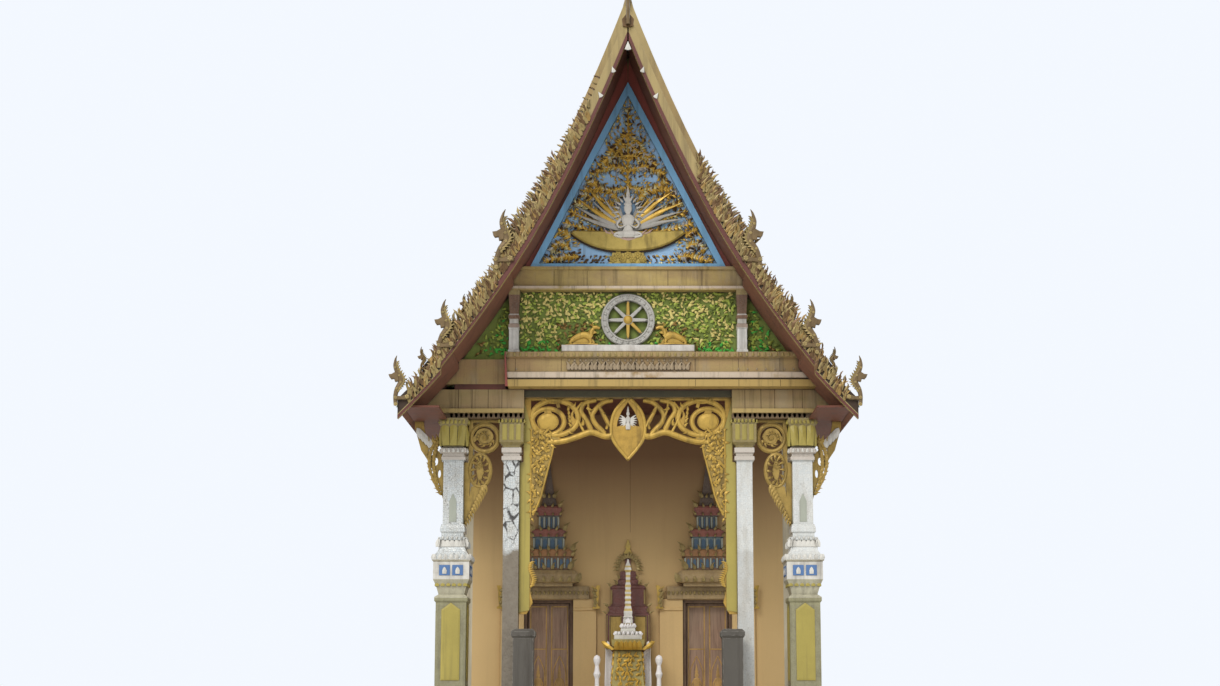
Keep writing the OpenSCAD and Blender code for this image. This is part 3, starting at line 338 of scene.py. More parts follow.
def old_boards(name, first, second, light, lines, cream, start=-99.0):
    """Boards in blotches of brown, olive and grey, with painted bands by height right of a place."""
    f = Finish(name)
    blotch = f.noise(0.8, (1.0, 1.0, 2.0), 6.0, 0.65)
    f.colour = f.mix(f.span(blotch, 0.42, 0.6), first, second)
    f.tint(f.noise(1.7, (1.0, 1.0, 0.4)), 0.52, 0.66, 0.7, light)
    fine = f.noise(60.0, detail=3.0)
    z = f.axis("Z")
    right = f.span(f.axis("X"), start, start + 0.01)

    def band(low, high):
        return f.times(f.times(f.span(z, low, low + 0.004), f.span(z, high, high - 0.004)), right)

    for low, high, tone in lines:
        f.lay(band(low, high), tone)
    for low, high in cream:
        f.lay(f.times(band(low, high), f.span(f.noise(1.3), 0.36, 0.44)), (0.62, 0.52, 0.42))
    f.tint(fine, 0.3, 0.7, 0.3, shade(second, 1.5))
    f.tint(f.noise(1.0, (7.0, 7.0, 0.4), 6.0, 0.7), 0.52, 0.72, 0.6, (0.06, 0.04, 0.02))
    # Painted shade: the hollows darken by ambient occlusion
    f.tint(f.crevice_shade(0.1), 0.8, 0.3, 0.85, (0.045, 0.03, 0.02))
    return f.finish(f.span(fine, 0.2, 0.8, 0.5, 0.75), f.sum("ADD", fine, blotch))


def painted_timber(name, base):
    """Boards with long grain, faded paint and rubbed edges."""
    worn = (0.3, 0.22, 0.15)
    f = Finish(name, shade(base, 1.25))
    grain = f.noise(1.6, (14.0, 14.0, 0.8), 7.0, 0.7, 0.8)
    f.tint(grain, 0.35, 0.68, 1.0, shade(base, 0.55))
    f.tint(f.noise(1.3), 0.45, 0.7, 0.5, worn)
    f.lay(f.times(f.edges(0.015), 0.7), worn)
    # Painted shade: the hollows darken by ambient occlusion
    f.tint(f.crevice_shade(0.08), 0.8, 0.3, 0.8, (0.03, 0.022, 0.016))
    return f.finish(f.span(grain, 0.3, 0.7, 0.5, 0.75), grain)


def ceiling_finish(name):
    """Dark red boards with rows of small gold stars, and painted shade that darkens them where other parts meet them.
    """
    f = Finish(name, (0.15, 0.045, 0.025))
    star = f.cells(1.6, jitter=0.0)
    ray = f.cells(13.0, jitter=0.1)
    board = f.noise(2.0, (0.6, 9.0, 1.0))
    f.tint(board, 0.35, 0.65, 1.0, (0.075, 0.03, 0.02))
    f.tint(f.sum("ADD", star, f.times(ray, 0.12)), 0.24, 0.2, 1.0, (0.45, 0.3, 0.07))
    # Painted shade: darker where other parts meet the boards, by ambient occlusion
    f.tint(f.crevice_shade(0.6), 0.7, 0.2, 0.7, (0.03, 0.02, 0.015))
    return f.finish(f.span(board, 0.2, 0.8, 0.5, 0.75), board, 0.003)


def glazed_tiles(name, base, second):
    """Glazed clay, each tile a little different, with moss and dull patches, and painted shade in the hollows."""
    f = Finish(name, base, coat=0.25)
    patch = f.noise(0.8, detail=6.0)
    f.tint(f.cells(5.0, output="Color"), 0.1, 0.9, 0.6, second)
    f.tint(patch, 0.48, 0.72, 0.55, (0.09, 0.07, 0.045))
    f.tint(f.noise(30.0), 0.5, 0.75, 0.3, shade(base, 1.6))
    # Painted shade: the gaps darken by ambient occlusion
    f.tint(f.crevice_shade(0.06), 0.8, 0.35, 0.8, (0.035, 0.03, 0.022))
    return f.finish(f.span(patch, 0.35, 0.7, 0.24, 0.6), f.noise(40.0), 0.002)


def make_finishes():
    """Every finish by name."""
    c = bpy.context.scene.temple_colours
    gold = tuple(c.gold)
    white = (0.7, 0.68, 0.62)
    foliage = dict(streaks=0.15, crevice_shade=0.05)
    paints = {
        "base": ((0.5, 0.47, 0.4), dict(streaks=0.6, ground=(0.9, 0.0, 0.6), worn=(0.3, 0.27, 0.22))),
        "stone": ((0.1, 0.09, 0.075), dict(streaks=0.7, worn=(0.45, 0.43, 0.38))),
        # The porch walls darken towards their top, from 4.8 m up to 7.4 m
        "tan": (shade(c.tan, 1.52), dict(streaks=0.08, patches=0.1, top=(4.8, 7.4, 0.8), depth=0.003,
                                         grime_and_shade=(0.15, 0.06, 0.03))),
        "cream": (tuple(c.cream), dict(ground=(2.6, 1.3, 0.5))),
        "gable_brown": ((0.28, 0.19, 0.09), dict(streaks=0.6)),
        "green": (tuple(c.green), dict(streaks=0.4, patches=0.3, grime_and_shade=(0.05, 0.05, 0.02))),
        "blue": ((0.26, 0.56, 0.9), dict(streaks=0.35, worn=(0.4, 0.45, 0.46))),
        "field": (tuple(c.field), dict(patches=0.5, grime_and_shade=(0.06, 0.05, 0.03))),
        "red": (tuple(c.red), dict(patches=0.5, rough=0.65)),
        "strip_red": ((0.13, 0.035, 0.025), dict(streaks=0.3, patches=0.5, rough=0.6)),
        "maroon": ((0.36, 0.09, 0.065), dict(streaks=0.3, patches=0.5, rough=0.6)),
        "soffit": ((0.24, 0.1, 0.06), dict(patches=0.5)),
        "ridge": ((0.6, 0.52, 0.38), dict(streaks=0.7, worn=(0.4, 0.34, 0.26))),
        "board": ((0.4, 0.3, 0.12), dict(streaks=0.6, rough=0.55, grime_and_shade=(0.1, 0.065, 0.03), worn=(0.5, 0.4, 0.22))),
        "wheel": ((0.5, 0.49, 0.45), dict(worn=(0.62, 0.6, 0.55))),
        "drape": ((0.88, 0.84, 0.83), dict(streaks=0.15, patches=0.15, crevice_shade=0.04)),
        "petals": ((0.36, 0.27, 0.09), dict(patches=0.4, rough=0.5)),
        "faded": ((0.4, 0.31, 0.2), dict(streaks=0.4, patches=0.5)),
        "white": (white, dict(streaks=0.4, patches=0.25)),
        "pane": ((0.07, 0.13, 0.2), dict(streaks=0.2, rough=0.35)),
        "blue_paint": ((0.1, 0.2, 0.42), dict(streaks=0.2)),
        "pink": ((0.6, 0.42, 0.36), dict(streaks=0.25)),
        "shaft_grey": ((0.4, 0.42, 0.35), dict(streaks=0.3, patches=0.4)),
        "dark": ((0.05, 0.028, 0.015), dict(streaks=0.2, patches=0.6)),
        "yellow_olive": ((0.42, 0.34, 0.075), dict(streaks=0.4, patches=0.5, rough=0.5)),
        "cornice_shade": ((0.075, 0.07, 0.04), dict(streaks=0.4)),
        "leaf_a": ((0.42, 0.52, 0.09), dict(grime_and_shade=(0.03, 0.05, 0.01), **foliage)),
        "leaf_b": ((0.8, 0.68, 0.24), dict(grime_and_shade=(0.05, 0.05, 0.01), **foliage)),
        "leaf_c": ((0.22, 0.28, 0.05), dict(grime_and_shade=(0.02, 0.04, 0.01), **foliage)),
        "leaf_d": ((0.08, 0.48, 0.07), dict(grime_and_shade=(0.02, 0.06, 0.01), **foliage)),
    }
    found = {name: weathered(name, base, **more) for name, (base, more) in paints.items()}
    for name, base, reach, dull in (
        ("gold", gold, 0.1, 0.55), ("bright", (0.56, 0.36, 0.07), 0.08, 0.7), ("pale", (0.66, 0.52, 0.22), 0.06, 0.7),
        ("khaki", (0.36, 0.265, 0.1), 0.12, 0.5), ("bronze", (0.16, 0.085, 0.03), 0.08, 0.55),
        ("old", (0.34, 0.21, 0.06), 0.1, 0.55), ("finial", (0.19, 0.125, 0.055), 0.04, 0.5),
        ("boat_gold", (0.5, 0.37, 0.09), 0.02, 0.75), ("leaf_gold", (0.72, 0.46, 0.08), 0.02, 0.75),
        ("leaf_khaki", (0.68, 0.63, 0.34), 0.02, 0.75), ("carved", (0.42, 0.28, 0.07), 0.06, 0.65),
        ("door_gold", (0.5, 0.3, 0.1), 0.02, 0.6),
    ):
        found[name] = gilded(name, base, reach, dull)
    for name, base in (("timber", (0.14, 0.075, 0.04)), ("door", (0.31, 0.19, 0.125)),
                       ("shutter", (0.22, 0.08, 0.045))):
        found[name] = painted_timber(name, base)
    beads = [(3.7 + 0.055 * k, ((0.6, 0.44, 0.13), white)[k % 2]) for k in range(20)]
    for name, low, high, stops, streaks in (
        ("ledge", 9.1, 9.5, [(9.1, (0.22, 0.16, 0.06)), (9.24, (0.76, 0.74, 0.7))], 0.35),
        ("pilaster", 9.1, 10.65, [(9.1, (0.82, 0.82, 0.78)), (9.76, (0.5, 0.38, 0.3)), (9.86, white),
                                  (9.96, (0.24, 0.12, 0.06)), (10.04, white), (10.08, (0.2, 0.1, 0.05)),
                                  (10.5, (0.4, 0.3, 0.1))], 0.35),
        ("pedestal", 1.3, 4.7, [(1.3, white), (1.9, (0.27, 0.25, 0.13)), (3.7, (0.3, 0.28, 0.14)),
                                (3.85, (0.5, 0.47, 0.33)), (4.24, white), (4.62, (0.5, 0.45, 0.32))], 0.35),
        ("crown", 4.0, 7.4, [(4.0, (0.38, 0.25, 0.09)), (4.68, (0.24, 0.12, 0.05)), (5.0, (0.4, 0.17, 0.04)),
                             (5.18, (0.16, 0.24, 0.26)), (5.465, (0.32, 0.085, 0.05)), (5.66, (0.16, 0.15, 0.14)),
                             (5.97, (0.3, 0.075, 0.05)), (6.21, (0.12, 0.075, 0.05))], 0.35),
        ("altar", 1.3, 4.9, [(1.3, (0.5, 0.45, 0.35)), (1.5, (0.4, 0.32, 0.07)), (3.05, white), (3.3, gold),
                             (3.42, white)] + beads, 0.15),
        ("niche_gold", 1.3, 5.5, [(1.3, (0.13, 0.014, 0.006)), (5.06, (0.6, 0.42, 0.07))], 0.2),
    ):
        found[name] = banded(name, low, high, stops, streaks)
    found["beam"] = old_boards("beam", (0.38, 0.26, 0.13), (0.32, 0.24, 0.1), (0.4, 0.32, 0.2),
                               [(7.7, 7.87, (0.1, 0.055, 0.03)), (7.87, 7.985, (0.45, 0.32, 0.11))], [])
    found["collar"] = old_boards("collar", (0.48, 0.36, 0.12), (0.34, 0.24, 0.1), (0.38, 0.31, 0.22), [],
                                 [(PANEL_TOP + 0.03, PANEL_TOP + 0.11)])
    found["cornice"] = old_boards("cornice", (0.34, 0.215, 0.1), (0.38, 0.275, 0.105), (0.31, 0.25, 0.17),
                                  [(8.3, 8.575, (0.46, 0.31, 0.09)), (8.575, 8.605, (0.09, 0.05, 0.02))],
                                  [(8.605, 8.755)], -2.69)
    found["mosaic_in"] = mosaic("mosaic_in", 4.9)
    found["mosaic_out"] = mosaic("mosaic_out")
    found["ceiling"] = ceiling_finish("ceiling")
    found["tile"] = glazed_tiles("tile", tuple(c.tile), (0.36, 0.1, 0.025))
    found["tile_edge"] = glazed_tiles("tile_edge", tuple(c.tile_edge), (0.03, 0.1, 0.05))
    return found


FINISHES = {}

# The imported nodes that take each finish
NODE_FINISH = {name: finish for finish, names in {
    "base": "base_platform front_stair stair_cheeks",
    "stone": "stair_posts",
    "tan": "front_wall_left front_wall_middle front_wall_right front_wall_top rear_wall door_pilasters",
    "cream": "side_walls",
    "shutter": "window_shutters",
    "gold": "window_frames arch_ornament_left arch_ornament_middle arch_ornament_right pediment_relief",
    "ceiling": "ceilings",
    "mosaic_in": "inner_columns",
    "mosaic_out": "outer_columns",
    "pedestal": "column_pedestals",
    "beam": "lower_beams",
    "cornice": "cornices",
    "carved": "bay_brackets eave_brackets",
    "green": "porch_gable_walls",
    "gable_brown": "main_gable_walls",
    "collar": "collar_beams",
    "pilaster": "gable_pilasters",
    "blue": "pediment_frames",
    "wheel": "wheel",
    "bright": "deer_pair pilaster_brackets",
    "ledge": "wheel_shelf",
    "soffit": "porch_roof_upper porch_roof_middle porch_roof_lower main_roof_upper main_roof_middle main_roof_lower",
    "ridge": "ridge_caps",
    "board": "porch_bargeboards main_bargeboards",
    "pale": "porch_blades main_blades",
    "bronze": "eave_finials ridge_finials",
    "timber": "door_frames",
    "door": "door_leaf_left_outer door_leaf_left_inner door_leaf_right_inner door_leaf_right_outer",
    "crown": "door_crowns",
    "niche_gold": "shrine_niche",
    "altar": "altar",
    "red": "eave_soffits",
    "drape": "altar_panels",
}.items() for name in names.split()}


# Shapes

MOULDS = []


def added(name, data):
    """A new object in the scene."""
    obj = bpy.data.objects.new(name, data)
    bpy.context.scene.collection.objects.link(obj)
    return obj


def stand(name, bm, finishes, sides="", body="root", replaces=()):
    """Makes a piece from a bmesh, repeated across x or along y, and puts it on its body."""
    mirrored(bm, sides)
    mesh = bpy.data.meshes.new(name)
    bm.to_mesh(mesh)
    bm.free()
    obj = added(name, mesh)
    for key in finishes.split():
        mesh.materials.append(FINISHES[key])
    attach(obj, body)
    if replaces:
        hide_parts(*replaces)
    return obj


def as_mesh(bm):
    mesh = bpy.data.meshes.new("mould")
    bm.to_mesh(mesh)
    return mesh


def mould(bm, material=0):
    """A small shape kept as a mesh, to be cast many times. done() clears it."""
    for face in bm.faces:
        face.material_index = material
    mesh = as_mesh(bm)
    bm.free()
    MOULDS.append(mesh)
    return mesh


def done():
    """Ends a step and clears its moulds."""
    for mesh in MOULDS:
        bpy.data.meshes.remove(mesh)
    MOULDS.clear()
    return {"FINISHED"}


def cast(bm, shape, matrix):
    copy = shape.copy()
    copy.transform(matrix)
    if matrix.determinant() < 0:
        copy.flip_normals()
    bm.from_mesh(copy)
    bpy.data.meshes.remove(copy)


def mirrored(bm, sides):
    """Repeats a shape on the other side of the building for x and at its other end for y."""
    for axis, scale in (("x", (-1, 1, 1, 1)), ("y", (1, -1, 1, 1))):
        if axis in sides:
            shape = as_mesh(bm)
            cast(bm, shape, Matrix.Diagonal(scale))
            bpy.data.meshes.remove(shape)


def joined(bm, other, matrix=None):
    """Adds one bmesh to another and frees it."""
    shape = as_mesh(other)
    other.free()
    cast(bm, shape, matrix or Matrix.Identity(4))
    bpy.data.meshes.remove(shape)
    return bm


def at(x, y, z):
    return Matrix.Translation((x, y, z))


def about_x(degrees):
    return Matrix.Rotation(math.radians(degrees), 4, "X")


def place(x, y, z, turn=0.0, size=1.0, flip=False, wide=1.0, deep=1.0):
    """Puts a shape drawn in the x and z plane: turn is about the y axis, seen from the front."""
    scale = Matrix.Diagonal((-size * wide if flip else size * wide, deep, size, 1.0))
    return at(x, y, z) @ Matrix.Rotation(-turn, 4, "Y") @ scale


def row(bm, shape, count, x, pitch, y, z, angle, size, deep, turn=None, lean=0.0):
    """Casts a shape several times along x, each tipped forward by its lean in degrees."""
    for k in range(count):
        spot = place(x + pitch * k, y, z, angle, size, deep=deep) @ about_x(lean)
        cast(bm, shape, turn @ spot if turn is not None else spot)


def plate(outline, depth, inset=0.0, lift=0.0, y=0.0):
    """A flat shape in the x and z plane, standing forward of y by its depth, with a raised middle."""
    bm = bmesh.new()
    face = bm.faces.new([bm.verts.new((x, 0.0, z)) for x, z in outline])
    face.normal_update()
    if face.normal.y > 0:
        bmesh.ops.reverse_faces(bm, faces=[face])
    made = bmesh.ops.extrude_face_region(bm, geom=[face], use_keep_orig=True)
    front = [f for f in made["geom"] if isinstance(f, bmesh.types.BMFace)]
    bmesh.ops.translate(bm, verts=[v for f in front for v in f.verts], vec=(0, -depth, 0))
    if inset:
        bmesh.ops.inset_region(bm, faces=front, thickness=inset, use_even_offset=True)
        bmesh.ops.translate(bm, verts=list({v for f in front for v in f.verts}), vec=(0, -lift, 0))
    bmesh.ops.recalc_face_normals(bm, faces=bm.faces)
    bmesh.ops.translate(bm, verts=bm.verts, vec=(0, y, 0))
    return bm


def prism(points, y0, y1):
    """A closed outline in x and z, pushed from y0 to y1."""
    return plate(points, abs(y1 - y0), y=max(y0, y1))


def brick(low, high, chamfer=0.0):
    """A block between two corners, with its edges chamfered by this much."""
    bm = bmesh.new()
    bmesh.ops.create_cube(bm, size=1.0)
    bmesh.ops.scale(bm, vec=Vector(high) - Vector(low), verts=bm.verts)
    bmesh.ops.translate(bm, vec=(Vector(low) + Vector(high)) / 2, verts=bm.verts)
    if chamfer:
        bmesh.ops.bevel(bm, geom=bm.edges, offset=chamfer, affect="EDGES", segments=1, profile=0.5, material=-1)
    return bm


def turned(profile, steps=16, squash=(1, 1, 1)):
    """A profile of (radius, z) spun about the z axis."""
    bm = bmesh.new()
    points = [bm.verts.new((r, 0.0, z)) for r, z in profile]
    edges = [bm.edges.new(pair) for pair in zip(points, points[1:])]
    bmesh.ops.spin(bm, geom=points + edges, cent=(0, 0, 0), axis=(0, 0, 1), angle=math.tau, steps=steps,
                   use_merge=True)
    bmesh.ops.remove_doubles(bm, verts=bm.verts, dist=0.0005)
    bmesh.ops.recalc_face_normals(bm, faces=bm.faces)
    bmesh.ops.scale(bm, vec=squash, verts=bm.verts)
    return bm


def smooth_line(points, parts, side=1):
    """A smooth curve through points, as the part's source draws its finials."""
    points = [(side * x, *rest) for x, *rest in points]
    found = []
    last = len(points) - 1
    for i in range(last):
        a, b = points[max(i - 1, 0)], points[i]
        c, d = points[i + 1], points[min(i + 2, last)]
        for j in range(parts):
            u = j / parts
            found.append(tuple((2 * q + (r - p) * u + (2 * p - 5 * q + 4 * r - s) * u * u
                                + (3 * q - p - 3 * r + s) * u ** 3) / 2 for p, q, r, s in zip(a, b, c, d)))
    found.append(points[last])
    return found


def loft(rings):
    """A closed skin through rings of points that all have the same count."""
    bm = bmesh.new()
    face = bm.faces.new([bm.verts.new(p) for p in rings[0]])
    before = [Vector(p) for p in rings[0]]
    for step, ring in enumerate(rings[1:]):
        made = bmesh.ops.extrude_face_region(bm, geom=[face], use_keep_orig=step == 0)
        face = next(f for f in made["geom"] if isinstance(f, bmesh.types.BMFace))
        for vert in face.verts:
            vert.co = ring[min(range(len(ring)), key=lambda k: (vert.co - before[k]).length)]
        before = [Vector(p) for p in ring]
    bmesh.ops.recalc_face_normals(bm, faces=bm.faces)
    return bm


def stem(points, widths, depth, sides=5, full=False):
    """A carved stem in the x and z plane, flat behind or round. Without widths each point has its own."""
    count = len(points)
    if widths:
        points = [(*p, widths[0] + (widths[-1] - widths[0]) * i / (count - 1)) for i, p in enumerate(points)]
    widest = max(p[2] for p in points)
    rings = []
    for i, (x, z, width) in enumerate(points):
        ax, az, _ = points[max(i - 1, 0)]
        bx, bz, _ = points[min(i + 1, count - 1)]
        length = math.hypot(bx - ax, bz - az) or 1.0
        nx, nz = -(bz - az) / length, (bx - ax) / length
        rise = depth * (0.4 + 0.6 * width / widest)
        ring = []
        for k in range(sides):
            a = math.tau * k / sides if full else math.pi * k / (sides - 1)
            u, v = math.cos(a) * width / 2, math.sin(a) * rise
            ring.append((x + nx * u, -v, z + nz * u))
        rings.append(ring)
    return loft(rings)


FLAME = [(-0.15, 0.0), (-0.25, 0.26), (-0.14, 0.58), (0.05, 0.8), (0.3, 1.0), (0.16, 0.66), (0.24, 0.4), (0.14, 0.0)]
PETAL = [(-0.28, 0.0), (-0.32, 0.45), (-0.2, 0.8), (0.0, 1.0), (0.2, 0.8), (0.32, 0.45), (0.28, 0.0)]
COMMA = [(-0.2, 0.0), (-0.24, 0.22), (-0.1, 0.5), (-0.08, 0.74), (-0.34, 1.0), (0.1, 0.8), (0.2, 0.5), (0.22, 0.2),
         (0.2, 0.0)]


def leaf(outline, depth, lift, both_faces=False, wide=1.0):
    """A low leaf of few faces: its middle stands proud of its edge."""
    bm = plate([(x * wide, z) for x, z in outline], depth)
    flats = [f for f in bm.faces if f.normal.y < -0.9 or (both_faces and f.normal.y > 0.9)]
    made = bmesh.ops.poke(bm, faces=flats, offset=0.0)
    for vert in made["verts"]:
        vert.co.y += -lift if vert.co.y < -depth / 2 else lift
    return bm


def scroll_leaves(bm, y, circle, flame, boss, leaves):
    """A leafy scroll: a winding stem, flames round its outside and a boss in its eye."""
    cx, cz, radius, hand, start = circle
    line = []
    for i in range(21):
        a = start + hand * i / 20 * 1.35 * math.tau
        r = radius * (1 - 0.82 * (i / 20) ** 0.8)
        line.append((cx + r * math.cos(a), cz + r * math.sin(a)))
    joined(bm, stem(line, (radius * 0.2, radius * 0.2 * 0.45), radius * 0.14), at(0, y, 0))
    for i in range(leaves):
        (ax, az), (bx, bz) = line[int(i * 14 / leaves)], line[int(i * 14 / leaves) + 1]
        lean = math.atan2(bz - az, bx - ax) - math.pi / 2 - hand * math.radians(55)
        size = radius * (0.62 - 0.03 * i)
        cast(bm, flame, place(ax, y, az, lean, size, flip=hand > 0, deep=size))
    cast(bm, boss, place(cx, y, cz, 0.0, radius * 0.3, deep=radius * 0.3))


def boss_mould(petals=6, material=0):
    """A small rosette: a ring of petals round a button."""
    bm = bmesh.new()
    petal = mould(leaf([(-0.3, 0.2), (-0.36, 0.7), (0.0, 1.0), (0.36, 0.7), (0.3, 0.2)], 0.2, 0.18))
    for k in range(petals):
        cast(bm, petal, place(0, 0, 0, math.tau * k / petals))
    joined(bm, turned([(0.0, 0.42), (0.2, 0.38), (0.34, 0.2), (0.36, 0.0)], 8), about_x(90))
    return mould(bm, material)


def oval_line(cx, cz, a, b, count=28):
    return [(cx + a * math.cos(math.tau * i / count), cz + b * math.sin(math.tau * i / count))
            for i in range(count + 1)]


def quarter_turns(x, y):
    """The four turns of a square post about its own axis."""
    for k in range(4):
        yield at(x, y, 0) @ Matrix.Rotation(math.radians(90 * k), 4, "Z")


class TEMPLE_OT_stage(bpy.types.Operator):
    """Pale floor, soft light and the camera at the photograph's viewing angle"""
    bl_idname = "temple.stage"
    bl_label = "Stage and camera"

    def execute(self, context):
        view = context.scene.temple_view
        bm = bmesh.new()
        bmesh.ops.create_grid(bm, x_segments=1, y_segments=1, size=400.0)
        mesh = bpy.data.meshes.new("floor")
        bm.to_mesh(mesh)
        bm.free()
        floor = added("floor", mesh)
        mesh.materials.append(Finish("floor_pale", (0.72, 0.71, 0.69)).finish(0.9))
        floor.location.z = -0.002
        world = bpy.data.worlds.new("sky")
        world.use_nodes = True
        nodes, links = world.node_tree.nodes, world.node_tree.links
        light, seen = nodes["Background"], nodes.new("ShaderNodeBackground")
        for node, colour, strength in ((light, (0.97, 0.985, 1.0, 1.0), view.sky),
                                       (seen, (0.9, 0.94, 1.0, 1.0), 1.0)):
            node.inputs["Color"].default_value = colour
            node.inputs["Strength"].default_value = strength
        path = nodes.new("ShaderNodeLightPath").outputs
        direct = path["Is Camera Ray"]
        for ray in ("Is Glossy Ray", "Is Transmission Ray"):
            either = nodes.new("ShaderNodeMath")
            either.operation = "MAXIMUM"
            links.new(direct, either.inputs[0])
            links.new(path[ray], either.inputs[1])
            direct = either.outputs[0]
        blend = nodes.new("ShaderNodeMixShader")
        for i, socket in enumerate((direct, light.outputs[0], seen.outputs[0])):
            links.new(socket, blend.inputs[i])
        links.new(blend.outputs[0], nodes["World Output"].inputs["Surface"])
        context.scene.world = world
        lamp = bpy.data.lights.new("key", "SUN")
        lamp.energy = view.sun
        lamp.angle = math.radians(25)
        lamp.color = (1.0, 0.98, 0.95)
        added("key", lamp).rotation_euler = (math.radians(48), 0.0, math.radians(-24))
        camera = bpy.data.cameras.new("camera")
        camera.lens = view.lens
        camera.sensor_width = 36.0
        camera.shift_x = view.shift_x
        camera.shift_y = view.shift_y
        camera.clip_end = 500.0
        eye = added("camera", camera)
        eye.location = (0.0, -view.distance, view.height)
        eye.rotation_euler = (math.radians(90) + view.tilt, 0.0, 0.0)
        context.scene.camera = eye
        context.scene.view_settings.view_transform = "Standard"
        return {"FINISHED"}


class TEMPLE_OT_finishes(bpy.types.Operator):
    """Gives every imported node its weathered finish"""
    bl_idname = "temple.finishes"
    bl_label = "Finishes"

    def execute(self, context):
        FINISHES.update(make_finishes())
        missing = set(NODES) - set(NODE_FINISH)
        if missing:
            raise RuntimeError("no finish for " + ", ".join(sorted(missing)))
        for name, obj in NODES.items():
            obj.data.materials.clear()
            obj.data.materials.append(FINISHES[NODE_FINISH[name]])
        return {"FINISHED"}


def tile_shape(width, height):
    """A clay tile with a pointed tail, lying in x (across) and z (up the slope), standing out in -y."""
    w = width * 0.47
    bm = plate([(-w, height * 1.15), (-w, 0.03), (-w * 0.55, -0.03), (0, -0.065), (w * 0.55, -0.03), (w, 0.03),
                (w, height * 1.15)], 0.018)
    back = [f for f in bm.faces if f.normal.y > 0.9]
    bmesh.ops.delete(bm, geom=back, context="FACES_ONLY")
    bmesh.ops.translate(bm, verts=[v for v in bm.verts if v.co.z > height], vec=(0, 0.016, 0))
    return bm


def slope_tiles(bm, tier, y0, y1, size, rng, start=None, ends=(True, True)):
    """Courses of tiles up one side of a tier, on the side of positive x."""
    width, course = size
    points = tier_points(tier, start)
    lengths = [math.dist(a, b) for a, b in zip(points, points[1:])]
    total = sum(lengths)
    rows = max(2, round(total / course))
    columns = max(2, round((y1 - y0) / width))
    pitch = (y1 - y0) / columns
    plain, edge = (mould(tile_shape(pitch, total / rows), k) for k in (0, 1))
    strips = []
    for shift in (0, 1):
        strip = bmesh.new()
        for k in range(columns - shift):
            border = (ends[0] and k < 2) or (ends[1] and k > columns - 3 - shift)
            jog = at(y0 + pitch * (k + 0.5 + shift * 0.5), rng.uniform(-0.002, 0.002), 0)
            cast(strip, edge if border else plain, jog @ Matrix.Rotation(rng.uniform(-0.02, 0.02), 4, "Y"))
        strips.append(as_mesh(strip))
        for face in strip.faces:
            face.material_index = 1
        strips.append(as_mesh(strip))
        strip.free()
    MOULDS.extend(strips)
    for row_number in range(rows):
        reach = total * (1 - (row_number + 0.02) / rows)
        flat = 0
        while flat < len(lengths) - 1 and reach > lengths[flat]:
            reach -= lengths[flat]
            flat += 1
        (ax, az), (bx, bz) = points[flat], points[flat + 1]
        down = Vector((bx - ax, 0, bz - az)).normalized()
        spot = Vector((ax, 0, az)) + down * reach
        out = Vector((-down.z, 0, down.x))
        turn = Matrix(((0, -out.x, -down.x, spot.x + out.x * 0.003), (1, 0, 0, 0),
                       (0, -out.z, -down.z, spot.z + out.z * 0.003), (0, 0, 0, 1)))
        cast(bm, strips[(row_number % 2) * 2 + (row_number < 2)], turn)


class TEMPLE_OT_roof_tiles(bpy.types.Operator):
    """Glazed tiles in courses, orange with a green border, on every tier"""
    bl_idname = "temple.roof_tiles"
    bl_label = "Roof tiles"

    def execute(self, context):
        roof = context.scene.temple_roof
        rng = random.Random(roof.seed)
        size = (roof.tile_w, roof.tile_h)
        for name, tiers, y0, y1, both in (("main_tiles", MAIN, -MAIN_Y, MAIN_Y, False),
                                          ("porch_tiles", PORCH, -FRONT_Y, -MAIN_Y + 0.4, True)):
            for tier, label in zip(tiers, ("upper", "middle", "lower")):
                bm = bmesh.new()
                start = 0.02 if label == "upper" else tier[0] + TUCK + 0.02
                slope_tiles(bm, tier, y0, y1, size, rng, start, (True, not both))
                if tier is PORCH[2]:
                    slope_tiles(bm, tier, y1, -WALL_Y - 0.02, size, rng, WALL_OUT + 0.03, (False, True))
                stand(f"{name}_{label}", bm, "tile tile_edge", "xy" if both else "x")
        return done()


def tier_edges(tiers):
    """The upper edges of the bargeboards on each tier, from the middle outwards."""
    first, second, third = tiers
    return (tier_points(first, 0.015, BOARD_RISE), tier_points(second, first[2] + 0.001, BOARD_RISE),
            tier_points(third, second[2] + 0.001, BOARD_RISE))


def along(line, share):
    """The point and the slope at a share of a line's reach across."""
    x = line[0][0] + (line[-1][0] - line[0][0]) * share
    for (ax, az), (bx, bz) in zip(line, line[1:]):
        if x <= bx + 1e-9:
            return x, az + (bz - az) * ((x - ax) / (bx - ax)), math.atan2(bz - az, bx - ax)
    return x, line[-1][1], 0.0


def ribbon(line, low, high, y, depth):
    """A strip that follows a line of (x, z) between two heights off it."""
    return plate([(x, z + high) for x, z in line] + [(x, z + low) for x, z in reversed(line)], depth, y=y)


